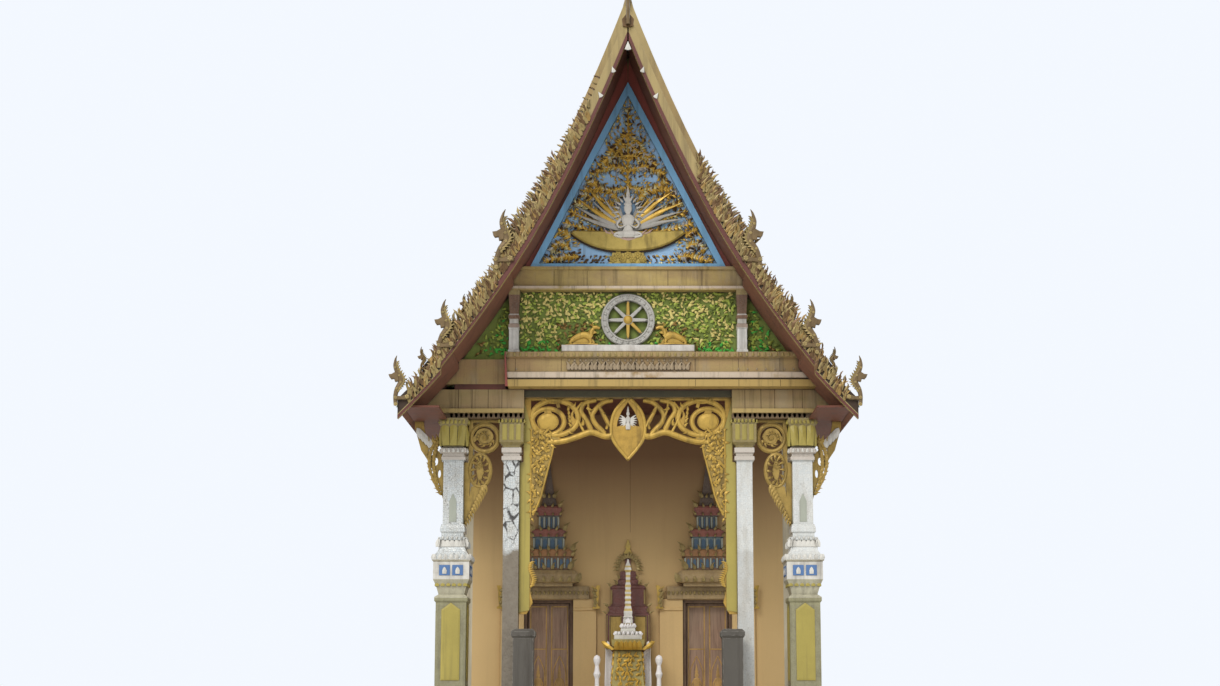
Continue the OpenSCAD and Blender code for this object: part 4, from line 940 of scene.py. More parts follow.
class TEMPLE_OT_board_trim(bpy.types.Operator):
    """Red strips, beads and rows of flames on the faces of the bargeboards, over a dark ribbon of painted shade"""
    bl_idname = "temple.board_trim"
    bl_label = "Bargeboard trim"

    def execute(self, context):
        rng = random.Random(context.scene.temple_roof.seed)
        tones = [mould(leaf(outline, 0.2, 0.14, wide=wide), k) for outline, wide in ((COMMA, 0.55), (FLAME, 0.7))
                 for k in range(3)]
        for name, tiers, face, bare in (("porch", PORCH, FRONT_Y, (0.3, 0.54)), ("main", MAIN, MAIN_Y, (0.6, 0.6))):
            strip, bead, ground, flames = (bmesh.new() for _ in range(4))
            y = -face - BOARD_T
            for i, line in enumerate(tier_edges(tiers)):
                deep = 0.6 if i == 0 else 0.42
                red = (0.18, 0.08, 0.07)[i] - deep
                end = 0.73 if i == 2 else 1.0
                for side in (1, -1):
                    start = 0.0 if i else bare[side > 0]
                    over = Matrix.Diagonal((side, 1, 1, 1))
                    first, last = line[0][0], line[-1][0]
                    part = [p for p in line if start - 0.02 <= (p[0] - first) / (last - first)]
                    joined(strip, ribbon(line, -deep, red, y, 0.012), over)
                    joined(bead, ribbon(part, red, red + 0.02, y, 0.02), over)
                    # A dark ribbon behind the flames: painted shade in the gaps between them
                    joined(ground, ribbon(part, red + 0.02, -0.005, y, 0.006), over)
                    count = int(math.dist(line[0], line[-1]) * (end - start) / 0.08)
                    for level, size in ((0.02, 0.24), (0.3, 0.27), (0.55, 0.25), (0.78, 0.22)):
                        for k in range(count):
                            x, z, slope = along(line, min(start + (end - start) * (k + rng.random()) / count, 0.99))
                            z += red + (-red - 0.05) * level
                            lean = 0.35 * slope + rng.uniform(-0.45, 0.45)
                            tone = rng.choice((0, 0, 0, 1, 2, 2)) + rng.choice((0, 3))
                            size_here = size * rng.uniform(0.75, 1.2)
                            cast(flames, tones[tone], over @ place(x, y - 0.004, z, lean, size_here,
                                                                   flip=rng.random() < 0.3, deep=0.14))
            stand(f"{name}_board_red", strip, "strip_red", "y")
            stand(f"{name}_board_beads", bead, "board", "y")
            stand(f"{name}_board_shade_ground", ground, "dark", "y")
            stand(f"{name}_board_flames", flames, "khaki old bronze", "y")

        face = -FRONT_Y - BOARD_T
        joint = prism([(0.0, 16.3), (0.13, 16.14), (0.11, 15.99), (0.0, 15.96), (-0.11, 15.99), (-0.13, 16.14)],
                      face - 0.04, face)
        stand("board_joint", joint, "bronze", "y")
        outline = [(-0.07, 0.02), (-0.04, 0.1), (0.0, 0.2), (0.04, 0.1), (0.07, 0.02), (0.0, 0.0)]
        drop = mould(leaf(outline, 0.02, 0.015))
        bm = bmesh.new()
        for x, z, size in ((0.0, 15.45, 1.0), (0.3, 14.95, 0.7), (-0.3, 14.95, 0.7), (0.57, 14.38, 0.7),
                           (-0.56, 14.4, 0.7)):
            cast(bm, drop, place(x, face - 0.014, z, -x, size))
        stand("board_drops", bm, "white", "y")
        return done()


class TEMPLE_OT_blades(bpy.types.Operator):
    """Rows of curled blades on the bargeboards, growing down the slope and hooked towards the ridge"""
    bl_idname = "temple.blades"
    bl_label = "Blades"

    def execute(self, context):
        rng = random.Random(context.scene.temple_roof.seed + 3)
        tones = [mould(leaf(COMMA, 0.05, 0.016, True, 0.42), k) for k in (0, 0, 0, 1, 2, 2)]
        for shape in tones:
            shape.transform(at(0, 0.025, 0))
        for name, tiers, face, shares, big in (("porch_blades", PORCH, FRONT_Y, (0.2, 0.57), 0.5),
                                               ("main_blades", MAIN, MAIN_Y, (0.64, 0.64), 0.3)):
            bm = bmesh.new()
            for side in (1, -1):
                for i, line in enumerate(tier_edges(tiers)):
                    start, end = ((shares[side > 0], 0.95), (0.14, 0.9), (0.18, 0.72))[i]
                    small, large = 0.17 if i == 0 else 0.22, big if i < 2 else 0.3
                    count = int(math.dist(along(line, start)[:2], along(line, end)[:2]) / 0.12)
                    for k in range(count):
                        u = (k + 0.5) / count
                        x, z, slope = along(line, start + (end - start) * u)
                        size = (small + (large - small) * u ** 1.4) * rng.uniform(0.75, 1.0)
                        lean = slope * ((0.6 if i else 0.95) - 0.45 * u) + rng.uniform(-0.14, 0.14)
                        shape = rng.choice(tones)
                        spot = place(x, -face - BOARD_T / 2, z - 0.03, lean, size, flip=rng.random() < 0.75)
                        cast(bm, shape, Matrix.Diagonal((side, 1, 1, 1)) @ spot)
            stand(name + "_carved", bm, "khaki old bronze", "y", replaces=(name,))
        return done()


# The eave finial's neck as (x, z, width), its beak and the link that lies on the board
NECK = [(0.035, -0.04, 0.08), (0.042, 0.06, 0.088), (0.042, 0.18, 0.092), (0.01, 0.31, 0.105), (-0.05, 0.4, 0.13),
        (-0.08, 0.49, 0.145), (-0.04, 0.59, 0.13), (0.025, 0.7, 0.105), (0.058, 0.8, 0.088), (0.062, 0.87, 0.062),
        (0.052, 0.95, 0.038), (0.028, 1.011, 0.01)]
BEAK = [(-0.03, 0.47), (0.055, 0.455), (0.077, 0.521), (0.136, 0.511), (0.168, 0.548), (0.195, 0.613), (0.126, 0.622),
        (0.06, 0.665), (-0.01, 0.64)]
LINK = [(0.05, 0.06), (-0.071, 0.08), (-0.16, 0.075), (-0.268, 0.1), (-0.252, 0.198), (-0.17, 0.18), (-0.071, 0.15),
        (0.05, 0.165)]


def eave_finial(bm, tier, y, size, lean, flame, boss):
    """A carved finial on a board's end: a bent neck with flames and studs, a beak and a link."""
    def laid(points, lean):
        return [((p[0] - lean * max(p[1], 0)) * size, p[1] * size, *[w * size for w in p[2:]]) for p in points]
    foot = at(tier[2], y, tier[3])
    curve = smooth_line(laid(NECK, lean), 2)
    joined(bm, stem(curve, None, 0.039, 8, True), foot)
    for outline, by in ((BEAK, lean), (LINK, 0.0)):
        joined(bm, plate(laid(outline, by), 0.062, 0.012, 0.012, 0.038), foot)
    for k in range(5, 17):
        (ax, az, width), (bx, bz, _) = curve[k], curve[k + 1]
        way = math.atan2(bz - az, bx - ax) - math.pi / 2
        cast(bm, flame, foot @ place(ax - width * 0.32, -0.01, az, way + 0.35, 0.11 * size, deep=0.8))
        if k % 3 == 0:
            cast(bm, boss, foot @ place(ax + 0.01, -0.034, az, way, 0.028 * size, deep=0.02))
    for x, z, reach in ((0.03, -0.02, 0.045), (-0.2, 0.14, 0.05), (0.04, 0.12, 0.04)):
        cast(bm, boss, foot @ place(x * size, -0.036, z * size, 0, reach * size, deep=0.03))


class TEMPLE_OT_finials(bpy.types.Operator):
    """Carved finials at the eaves and on the ridges"""
    bl_idname = "temple.finials"
    bl_label = "Finials"

    def execute(self, context):
        flame = mould(leaf(COMMA, 0.05, 0.02, True, 0.9), 1)
        flame.transform(at(0, 0.025, 0))
        boss = boss_mould(6, 1)
        bm = bmesh.new()
        for tiers, face, sizes in ((PORCH, FRONT_Y, ((1.22, 0.14), (1.1, 0.11), (1.0, 0.0))),
                                   (MAIN, MAIN_Y, ((0.6, 0.2), (0.5, 0.15), (0.55, 0.0)))):
            for tier, (size, lean) in zip(tiers, sizes):
                eave_finial(bm, tier, -face - BOARD_T - FINIAL_T / 2, size, lean, flame, boss)
        stand("eave_finials_carved", bm, "finial khaki", "xy", replaces=("eave_finials",))
        bm = bmesh.new()
        curve = smooth_line([(-0.0745, -0.2), (-0.1, 0.06), (-0.03, 0.33), (-0.09, 0.64), (-0.285, 0.85),
                             (-0.19, 1.12), (-0.1, 1.54)], 5)
        for tiers, face in ((PORCH, FRONT_Y), (MAIN, MAIN_Y)):
            foot = at(0, -face - BOARD_T, tiers[0][1]) @ Matrix.Rotation(math.radians(90), 4, "Z")
            joined(bm, stem(curve, (0.15, 0.016), 0.045, 8, True), foot)
            for x, z in curve[3:15:2]:
                cast(bm, flame, foot @ place(x + 0.03, 0, z, math.radians(-60), 0.12, flip=True, deep=0.7))
        stand("ridge_finials_carved", bm, "finial khaki", "y", replaces=("ridge_finials",))
        return done()


PEDIMENT_HALF = 2.168
PEDIMENT_RISE = 4.29
BOAT_HALF = 1.262

# Stems of the pediment's foliage on one side: points from the middle outwards
STEMS = [((0, 12.75), (0, 13.6), (0, 14.85)), ((0, 14.25), (0.26, 13.97), (0.5, 13.6)),
         ((0, 14.02), (0.16, 13.87), (0.32, 13.66)), ((0, 13.74), (0.35, 13.68), (0.62, 13.5)),
         ((0.02, 13.4), (0.4, 13.47), (0.78, 13.3)), ((0.05, 13.0), (0.35, 12.93), (0.62, 12.98), (0.86, 13.16)),
         ((0.2, 12.66), (0.45, 12.93), (0.98, 12.95)), ((0.25, 12.46), (0.6, 12.72), (1.08, 12.84)),
         ((0.3, 12.3), (0.75, 12.5), (1.2, 12.66)), ((0.35, 12.12), (0.8, 12.27), (1.33, 12.46)),
         ((0.4, 11.95), (0.9, 12.03), (1.45, 12.2)), ((1.28, 11.86), (1.48, 12.0), (1.64, 11.85)),
         ((1.1, 11.42), (1.5, 11.4), (1.85, 11.3)), ((1.3, 11.6), (1.5, 11.72), (1.72, 11.55))]


class TEMPLE_OT_pediment(bpy.types.Operator):
    """Blue ground, sprays of gilded leaves, a winged figure and a boat in each gable"""
    bl_idname = "temple.pediment"
    bl_label = "Pediment"

    def execute(self, context):
        rng = random.Random(context.scene.temple_roof.seed)
        base = COLLAR_TOP + 0.1
        tip = COLLAR_TOP + PEDIMENT_RISE - 0.3
        half = (tip - base) / PEDIMENT_RISE * PEDIMENT_HALF
        stand("pediment_field", plate([(-half, base), (half, base), (0, tip)], 0.02, y=-GABLE_FACE), "field",
              "y")

        # The red band fills the gable out to the roof's underside
        foot = COLLAR_TOP + 0.002
        under = [(x, z - PORCH[0][5] - 0.004) for x, z in tier_points(PORCH[0], 0.015)]
        edge = [p for p in under if p[1] > foot]
        (ax, az), (bx, bz) = edge[-1], under[len(edge)]
        meets = ax + (bx - ax) * (az - foot) / (az - bz)
        outline = [(0.0, COLLAR_TOP + PEDIMENT_RISE)] + edge + [(meets, foot), (PEDIMENT_HALF, foot)]
        stand("gable_red_band", plate(outline, 0.014, y=-GABLE_FACE - 0.001), "maroon", "xy")

        y = -GABLE_FACE - 0.02
        tones = [mould(leaf(FLAME, 0.16, 0.14), k) for k in (0, 0, 0, 1, 3, 2)]
        slim = mould(leaf(FLAME, 0.14, 0.12, wide=0.55))
        feathers = [mould(leaf(FLAME, 0.14, 0.12, wide=0.5), k) for k in (1, 2)]

        def room(x, z):
            return (half - 0.06) * (tip - z) / (tip - base) - abs(x)

        bm = bmesh.new()
        for n, points in enumerate(STEMS):
            for side in (1, -1) if n else (1,):
                line = smooth_line(points, 8, side)
                joined(bm, stem(line, (0.085, 0.04), 0.05), at(0, y, 0))
                for (ax, az), (bx, bz) in zip(line[1:-1], line[2:]):
                    way = math.atan2(bz - az, bx - ax) - math.pi / 2
                    for hand in (1, -1):
                        size = rng.uniform(0.09, 0.16)
                        if room(ax, az) > 0.05:
                            shape = rng.choice(tones)
                            lean = way + hand * rng.uniform(0.5, 1.1)
                            cast(bm, shape, place(ax, y, az, lean, size, flip=hand > 0, deep=0.2))
        step = 0.075
        for n in range(int((tip - base) / step)):
            z = base + 0.04 + n * step
            corner = z < 11.62
            for k in range(-27, 28):
                x = (k + 0.5 * (n % 2)) * step + rng.uniform(-0.03, 0.03)
                on_figure = math.hypot(x / 0.26, (z - 12.2) / 0.5) < 1
                on_boat = abs(x) < 1.0 and 11.5 < z < base + 0.55
                if room(x, z) < 0.02 or on_figure or on_boat:
                    continue
                if rng.random() < (0.1 if corner or z > 14.1 else 0.45):
                    continue
                lean = math.atan2(z - 12.0, x) - math.pi / 2 + rng.uniform(-0.9, 0.9)
                dark = corner and (x < 0 or rng.random() < 0.5) and rng.random() < 0.7
                shape = tones[5] if dark else rng.choice(tones)
                cast(bm, shape, place(x, y, z, lean, rng.uniform(0.06, 0.11), flip=rng.random() < 0.5, deep=0.12))
        stand("pediment_leaves", bm, "leaf_gold leaf_khaki bronze wheel", "y")

        low = COLLAR_TOP + 0.24
        face = -GABLE_FACE - 0.11
        bottom = [(u / 16 * BOAT_HALF, low + 0.14 + 0.4 * abs(u / 16) ** 2.6) for u in range(-16, 17)]
        top = [(x * 0.97, low + 0.59 + 0.012 * x * x) for x, _ in bottom[::-1]]
        hull = plate(bottom + top, 0.11, 0.03, 0.03, -GABLE_FACE)
        joined(hull, prism([(-0.42, 11.25), (0.42, 11.25), (0.33, low + 0.15), (-0.33, low + 0.15)],
                           -GABLE_FACE - 0.07, -GABLE_FACE))
        stand("pediment_boat", hull, "boat_gold", "y", replaces=("pediment_relief",))
        bm = bmesh.new()
        # A dark strip along the boat's bottom: a painted shadow line under the hull
        joined(bm, stem([(x, z - 0.015) for x, z in bottom], (0.05,), 0.015), at(0, face + 0.04, 0))
        stand("boat_shadow_rim", bm, "dark", "y")
        bm = bmesh.new()
        boss = boss_mould()
        for k in range(7):
            cast(bm, boss, place(-0.33 + 0.11 * k, face + 0.04, low - 0.04 + 0.1 * (k % 2), 0.4 * k, 0.09, deep=0.08))
        stand("boat_flowers", bm, "boat_gold", "y")

        bm = bmesh.new()
        for side in (-1, 1):
            cloth = smooth_line([(0.0, low + 0.4), (0.14, low + 0.42), (0.28, low + 0.5), (0.45, low + 0.53),
                                 (0.64, low + 0.5)], 5, side)
            joined(bm, stem(cloth, (0.11, 0.03), 0.04), at(0, face, 0))
            for k, (x, z) in enumerate(cloth[1:17:2]):
                cast(bm, slim, place(x, face, z, side * (-1.2 + 0.5 * (k % 2)), 0.16, deep=0.2))
            for k, reach in enumerate((1.15, 1.2, 1.25, 0.9, 1.2, 0.8, 0.7, 0.6, 0.5)):
                lean = -side * math.radians(74 - 7 * k)
                cast(bm, feathers[k in (2, 4, 6)], place(side * 0.1, face + 0.05, low + 0.62 + 0.03 * k, lean, reach,
                                                         wide=0.4, deep=0.2))
        stand("figure_wings", bm, "pink wheel leaf_gold", "y")

        bm = bmesh.new()
        body = [(0.0, 0.42), (0.2, 0.44), (0.27, 0.5), (0.23, 0.56), (0.12, 0.6), (0.1, 0.68), (0.14, 0.8),
                (0.17, 0.88), (0.1, 0.95), (0.045, 0.98), (0.05, 1.0), (0.085, 1.06), (0.09, 1.13), (0.07, 1.18),
                (0.1, 1.2), (0.06, 1.26), (0.07, 1.29), (0.035, 1.38), (0.045, 1.41), (0.015, 1.55), (0.0, 1.64)]
        joined(bm, turned([(r, z + low) for r, z in body], 12, (1, 0.35, 1)), at(0, face, 0))
        arm = [(0.16, 0.86), (0.24, 0.74), (0.17, 0.66), (0.03, 0.74)]
        knee = [(0.05, 0.52), (0.2, 0.54), (0.3, 0.49), (0.14, 0.44)]
        for side in (-1, 1):
            for limb, widths, depth, out in ((arm, (0.06, 0.035), 0.035, 0.03), (knee, (0.1, 0.06), 0.05, 0.02)):
                line = smooth_line([(x, low + z) for x, z in limb], 3, side)
                joined(bm, stem(line, widths, depth, 6, True), at(0, face - out, 0))
        for k in range(15):
            a = math.radians(-35 + 250 * k / 14)
            x, z = 0.2 * math.cos(a), low + 1.02 + 0.28 * math.sin(a)
            cast(bm, slim, place(x, face + 0.01, z, a - math.pi / 2, 0.17, flip=math.cos(a) < 0, deep=0.14))
        stand("pediment_figure", bm, "white", "y")
        return done()


# Bands of one half of the arch, as points down from its top, parts, width and rise
ARCH_BANDS = [
    (((0.36, 0.83), (0.5, 0.85), (0.8, 0.76), (1.09, 0.85), (1.35, 0.94), (1.64, 0.985), (1.76, 0.98)), 5,
     (0.11, 0.1), 0.03),
    (((0.335, 0.05), (0.53, 0.095), (0.7, 0.24), (0.785, 0.4), (0.72, 0.57), (0.6, 0.7), (0.5, 0.82)), 4,
     (0.08,), 0.02),
    (((0.7, 0.05), (0.95, 0.12), (1.03, 0.29), (0.93, 0.47), (0.84, 0.64), (0.8, 0.78)), 4, (0.085,), 0.02),
    (((0.65, 0.16), (0.56, 0.33), (0.48, 0.48), (0.395, 0.64)), 4, (0.06,), 0.02),
    (((1.0, 0.1), (1.14, 0.3), (1.08, 0.52), (0.96, 0.76)), 4, (0.055,), 0.02),
    (((1.4, 0.02), (1.5, 0.1), (1.7, 0.11), (1.82, 0.02)), 3, (0.05,), 0.02),
    (((0.88, 0.05), (0.86, 0.26), (0.8, 0.42), (0.74, 0.55)), 4, (0.05,), 0.02),
]


class TEMPLE_OT_arch_carving(bpy.types.Operator):
    """Rims, leaves and a small winged figure on the pierced arch and its brackets"""
    bl_idname = "temple.arch_carving"
    bl_label = "Arch carving"

    def execute(self, context):
        y = -COLUMN_Y - 0.045
        rng = random.Random(context.scene.temple_roof.seed)
        flame = mould(leaf(FLAME, 0.14, 0.12))
        boss = boss_mould(8)
        front = at(0, y, 0)
        top = ARCH_TOP
        cx, cz = 1.6, top - 0.445
        ex, ez = cx + 0.15, cz - 0.085
        bm = bmesh.new()
        for points, parts, widths, rise in ARCH_BANDS:
            joined(bm, stem(smooth_line([(x, top - z) for x, z in points], parts), widths, rise), front)
        for line, width in ((oval_line(cx, cz, 0.51, 0.39, 40), 0.085), (oval_line(ex, ez, 0.352, 0.29, 36), 0.07)):
            joined(bm, stem(line, (width,), 0.018), front)
        joined(bm, turned([(0.0, 0.03), (0.12, 0.026), (0.2, 0.012), (0.22, 0.0)], 20, (1.0, 0.86, 1.0)),
               at(ex, y, ez) @ about_x(90))
        leaves = [(cx - 0.36 + 0.02 * k, cz - 0.2 + 0.09 * k, -0.5 + 0.2 * k, 0.12, 0.12) for k in range(5)]
        leaves += [(x, z, lean, reach, 0.16) for x, z, lean, reach in (
            (1.22, cz + 0.24, 0.9, 0.13), (1.3, cz - 0.3, 2.3, 0.12), (1.95, cz - 0.3, -2.2, 0.13),
            (0.9, top - 0.22, 2.2, 0.15), (0.6, top - 0.25, 2.6, 0.14), (0.48, top - 0.7, 0.4, 0.13),
            (1.0, top - 0.62, 0.3, 0.15))]
        for x, z, lean, reach, deep in leaves:
            cast(bm, flame, place(x, y, z, lean, reach, deep=deep))
        stand("arch_carving", bm, "bright", "xy")

        bm = bmesh.new()
        leg = [(2.12, 7.62), (2.12, 5.52), (2.07, 5.66), (1.92, 6.0), (1.81, 6.42), (1.73, 6.73), (1.65, 7.05),
               (1.63, 7.2), (1.5, 7.27), (1.5, 7.34), (1.67, 7.39), (1.9, 7.46)]
        for n in range(34):
            z = 7.5 - n * 0.058
            left = 1.64 + max(0.0, 7.2 - z) * 0.275
            count = max(1, int((2.12 - left) / 0.075))
            for k in range(count):
                x = 2.1 - (2.1 - left) * (k + 0.5 * (n % 2)) / count
                if rng.random() < 0.2:
                    continue
                lean = rng.choice((0.6, -0.5, 2.4, -2.2)) + rng.uniform(-0.3, 0.3)
                size = rng.uniform(0.09, 0.15)
                cast(bm, flame, place(x, y - 0.004, z, lean, size, flip=rng.random() < 0.5, deep=0.13))
        for line in (leg[2:8], [(2.115, 7.5), (2.115, 5.6)]):
            joined(bm, stem(smooth_line(line, 4), (0.05, 0.04), 0.028), front)
        for circle in ((1.98, 7.22, 0.13, 1, 1.0), (1.72, 7.3, 0.08, -1, 0.5), (1.93, 6.75, 0.1, -1, 1.5)):
            scroll_leaves(bm, y, circle, flame, boss, 6)
        for k in range(12):
            u = k / 11
            cast(bm, flame, place(2.11 - 0.04 * math.sin(u * 6), y, 4.1 + 0.5 * u, 0.9, 0.12, flip=True, deep=0.16))
        stand("arch_legs", bm, "bright", "xy")
        stand("arch_leg_ground", plate(leg, 0.004, y=y), "carved", "xy")
        stand("column_strips", plate([(2.125, 3.6), (2.355, 3.56), (2.355, 6.81), (2.275, 6.825), (2.275, 8.18),
                                      (2.125, 7.62)], 0.01, y=y), "yellow_olive", "xy")
        bm = bmesh.new()
        heart = [(0.0, 1.36), (0.24, 1.07), (0.36, 0.83), (0.36, 0.53), (0.27, 0.27), (0.06, 0.03)]
        joined(bm, stem(smooth_line([(x, top - z) for x, z in heart], 4), (0.07,), 0.022), front)
        stand("arch_heart_rim", bm, "bright", "xy")

        bm = bmesh.new()
        body = [(0.0, 0.0), (0.055, 0.02), (0.06, 0.1), (0.035, 0.17), (0.06, 0.26), (0.03, 0.3), (0.018, 0.32),
                (0.036, 0.35), (0.034, 0.39), (0.02, 0.41), (0.026, 0.43), (0.008, 0.52), (0.0, 0.54)]
        joined(bm, turned(body, 10), at(0.0, y + 0.02, top - 0.72))
        for side in (-1, 1):
            for k in range(6):
                cast(bm, flame, place(side * 0.05, y + 0.02, top - 0.5 - 0.02 * k, side * (-0.7 - 0.25 * k),
                                      0.19 - 0.015 * k, flip=side < 0, wide=0.6, deep=0.1))
        stand("arch_figure", bm, "white", "y")

        bm = bmesh.new()
        cap = OUTER_X - 0.215 - 0.095
        mid = (INNER_X + 0.17 + 0.09 + cap) / 2
        high = BEAM_Z
        joined(bm, stem(oval_line(mid, high - 0.4, 0.295, 0.295, 32), (0.07,), 0.02), front)
        joined(bm, stem(oval_line(cap - 0.25, high - 1.12, 0.222, 0.357, 30), (0.06,), 0.02), front)
        scroll_leaves(bm, y, (mid, high - 0.4, 0.19, 1, 3.4), flame, boss, 9)
        scroll_leaves(bm, y, (cap - 0.24, high - 1.0, 0.1, -1, 1.4), flame, boss, 7)
        spots = []
        for k in range(12):
            a = math.tau * k / 12
            spots.append((cap - 0.25 + 0.2 * math.cos(a), high - 1.12 + 0.34 * math.sin(a), a + 1.2, 0.13, True))
        for k in range(22):
            u = k / 21
            x, z = cap - 0.33 + 0.37 * u, high - 1.44 - 0.8 * u
            spots.append((x, z, 2.5 + 0.7 * (k % 2), 0.2 - 0.08 * u, k % 2 == 0))
        for k in range(30):
            u = (k % 15) / 14
            x = OUTER_X + 0.25 + (0.3 if k < 15 else 0.2) * math.sin(math.pi * (0.25 + u * 0.75))
            spots.append((x, high - 0.55 - 1.1 * u, 0.6 - 1.6 * u, 0.2 - 0.05 * u, k % 2 == 0))
        spots += [(OUTER_X + 0.3 + 0.09 * k, high - 0.5 - 0.02 * k, 0.2, 0.2, False) for k in range(4)]
        for x, z, lean, size, flip in spots:
            cast(bm, flame, place(x, y, z, lean, size, flip=flip, deep=0.16))
        stand("bracket_carving", bm, "carved", "xy")
        return done()


def studs(bm, shape, x0, x1, z, y, pitch, size, rng=None):
    """A row of small carved shapes along a face that looks to the front."""
    count = max(1, round((x1 - x0) / pitch))
    for k in range(count):
        lean = rng.uniform(-0.2, 0.2) if rng else 0.0
        cast(bm, shape, place(x0 + (x1 - x0) * (k + 0.5) / count, y, z, lean, size, flip=k % 2 == 0, deep=size))


class TEMPLE_OT_beams(bpy.types.Operator):
    """Carved frieze, drops, joints, and a dark board painted as the shade under the cornice of the porch front"""
    bl_idname = "temple.beams"
    bl_label = "Beams and cornice"

    def execute(self, context):
        rng = random.Random(context.scene.temple_roof.seed)
        flame = mould(leaf(FLAME, 0.2, 0.16))
        petal = mould(leaf(PETAL, 0.2, 0.18))
        frieze = -CORNICE_FACE + 0.11
        bm = bmesh.new()
        studs(bm, flame, -1.34, 1.34, 8.79, frieze, 0.085, 0.19, rng)
        studs(bm, petal, -1.34, 1.34, 8.98, frieze, 0.12, 0.06)
        studs(bm, petal, -2.55, -2.3, 8.79, frieze, 0.2, 0.05)
        studs(bm, petal, 2.3, 4.1, 8.79, frieze, 0.2, 0.05)
        stand("frieze_carving", bm, "faded", "y")
        bm = bmesh.new()
        for a, b in ((-3.9, -2.28), (2.28, 3.9)):
            studs(bm, petal, a, b, BEAM_Z + 0.115, -BEAM_FACE, 0.105, -0.1)
        stand("beam_drops", bm, "pale", "y")

        # Joints as places across, y of the face, depth, half width, bottom and top
        bm = bmesh.new()
        cornice = (-2.45, -1.45, 1.46, 2.4, 3.3)
        for places, y, deep, half, low, high in (
            (cornice, -CORNICE_FACE, 0.002, 0.004, CORNICE_LOW + 0.002, CORNICE_LOW + 0.148),
            (cornice, frieze, 0.002, 0.004, 8.76, 9.04),
            (cornice, -CORNICE_FACE + 0.03, 0.002, 0.004, 9.07, 9.175),
            ((-3.7, -3.4, -3.05, -2.75, 2.55, 2.9, 3.2, 3.6, 3.8), -BEAM_FACE, 0.002, 0.005, 7.98, 8.4),
            ((0.053,), -WALL_Y, 0.0015, 0.003, 5.6, 8.3),
            ((-1.63, -0.9, 0.88, 1.63), -GABLE_FACE - 0.17, 0.002, 0.005, PANEL_TOP + 0.11, COLLAR_TOP - 0.085),
        ):
            for x in places:
                joined(bm, brick((x - half, y - deep, low), (x + half, y, high)))
        stand("board_joints", bm, "dark", "y")
        # A thin dark board: painted shade under the cornice, above the arch
        stand("cornice_shade_board", brick((-2.268, -8.126, 8.252), (2.268, -8.1205, 8.399)), "cornice_shade", "y")
        end = prism([(-2.66, 8.41), (-2.6, 8.41), (-2.66, 9.18), (-2.68, 9.18)], -CORNICE_FACE - 0.004, -BEAM_FACE)
        stand("cornice_end", end, "maroon", "y")
        bm = bmesh.new()
        studs(bm, petal, -2.66, 4.2, CORNICE_TOP - 0.1, -CORNICE_FACE + 0.03, 0.13, 0.085)
        stand("moulding_petals", bm, "petals", "y")
        return done()


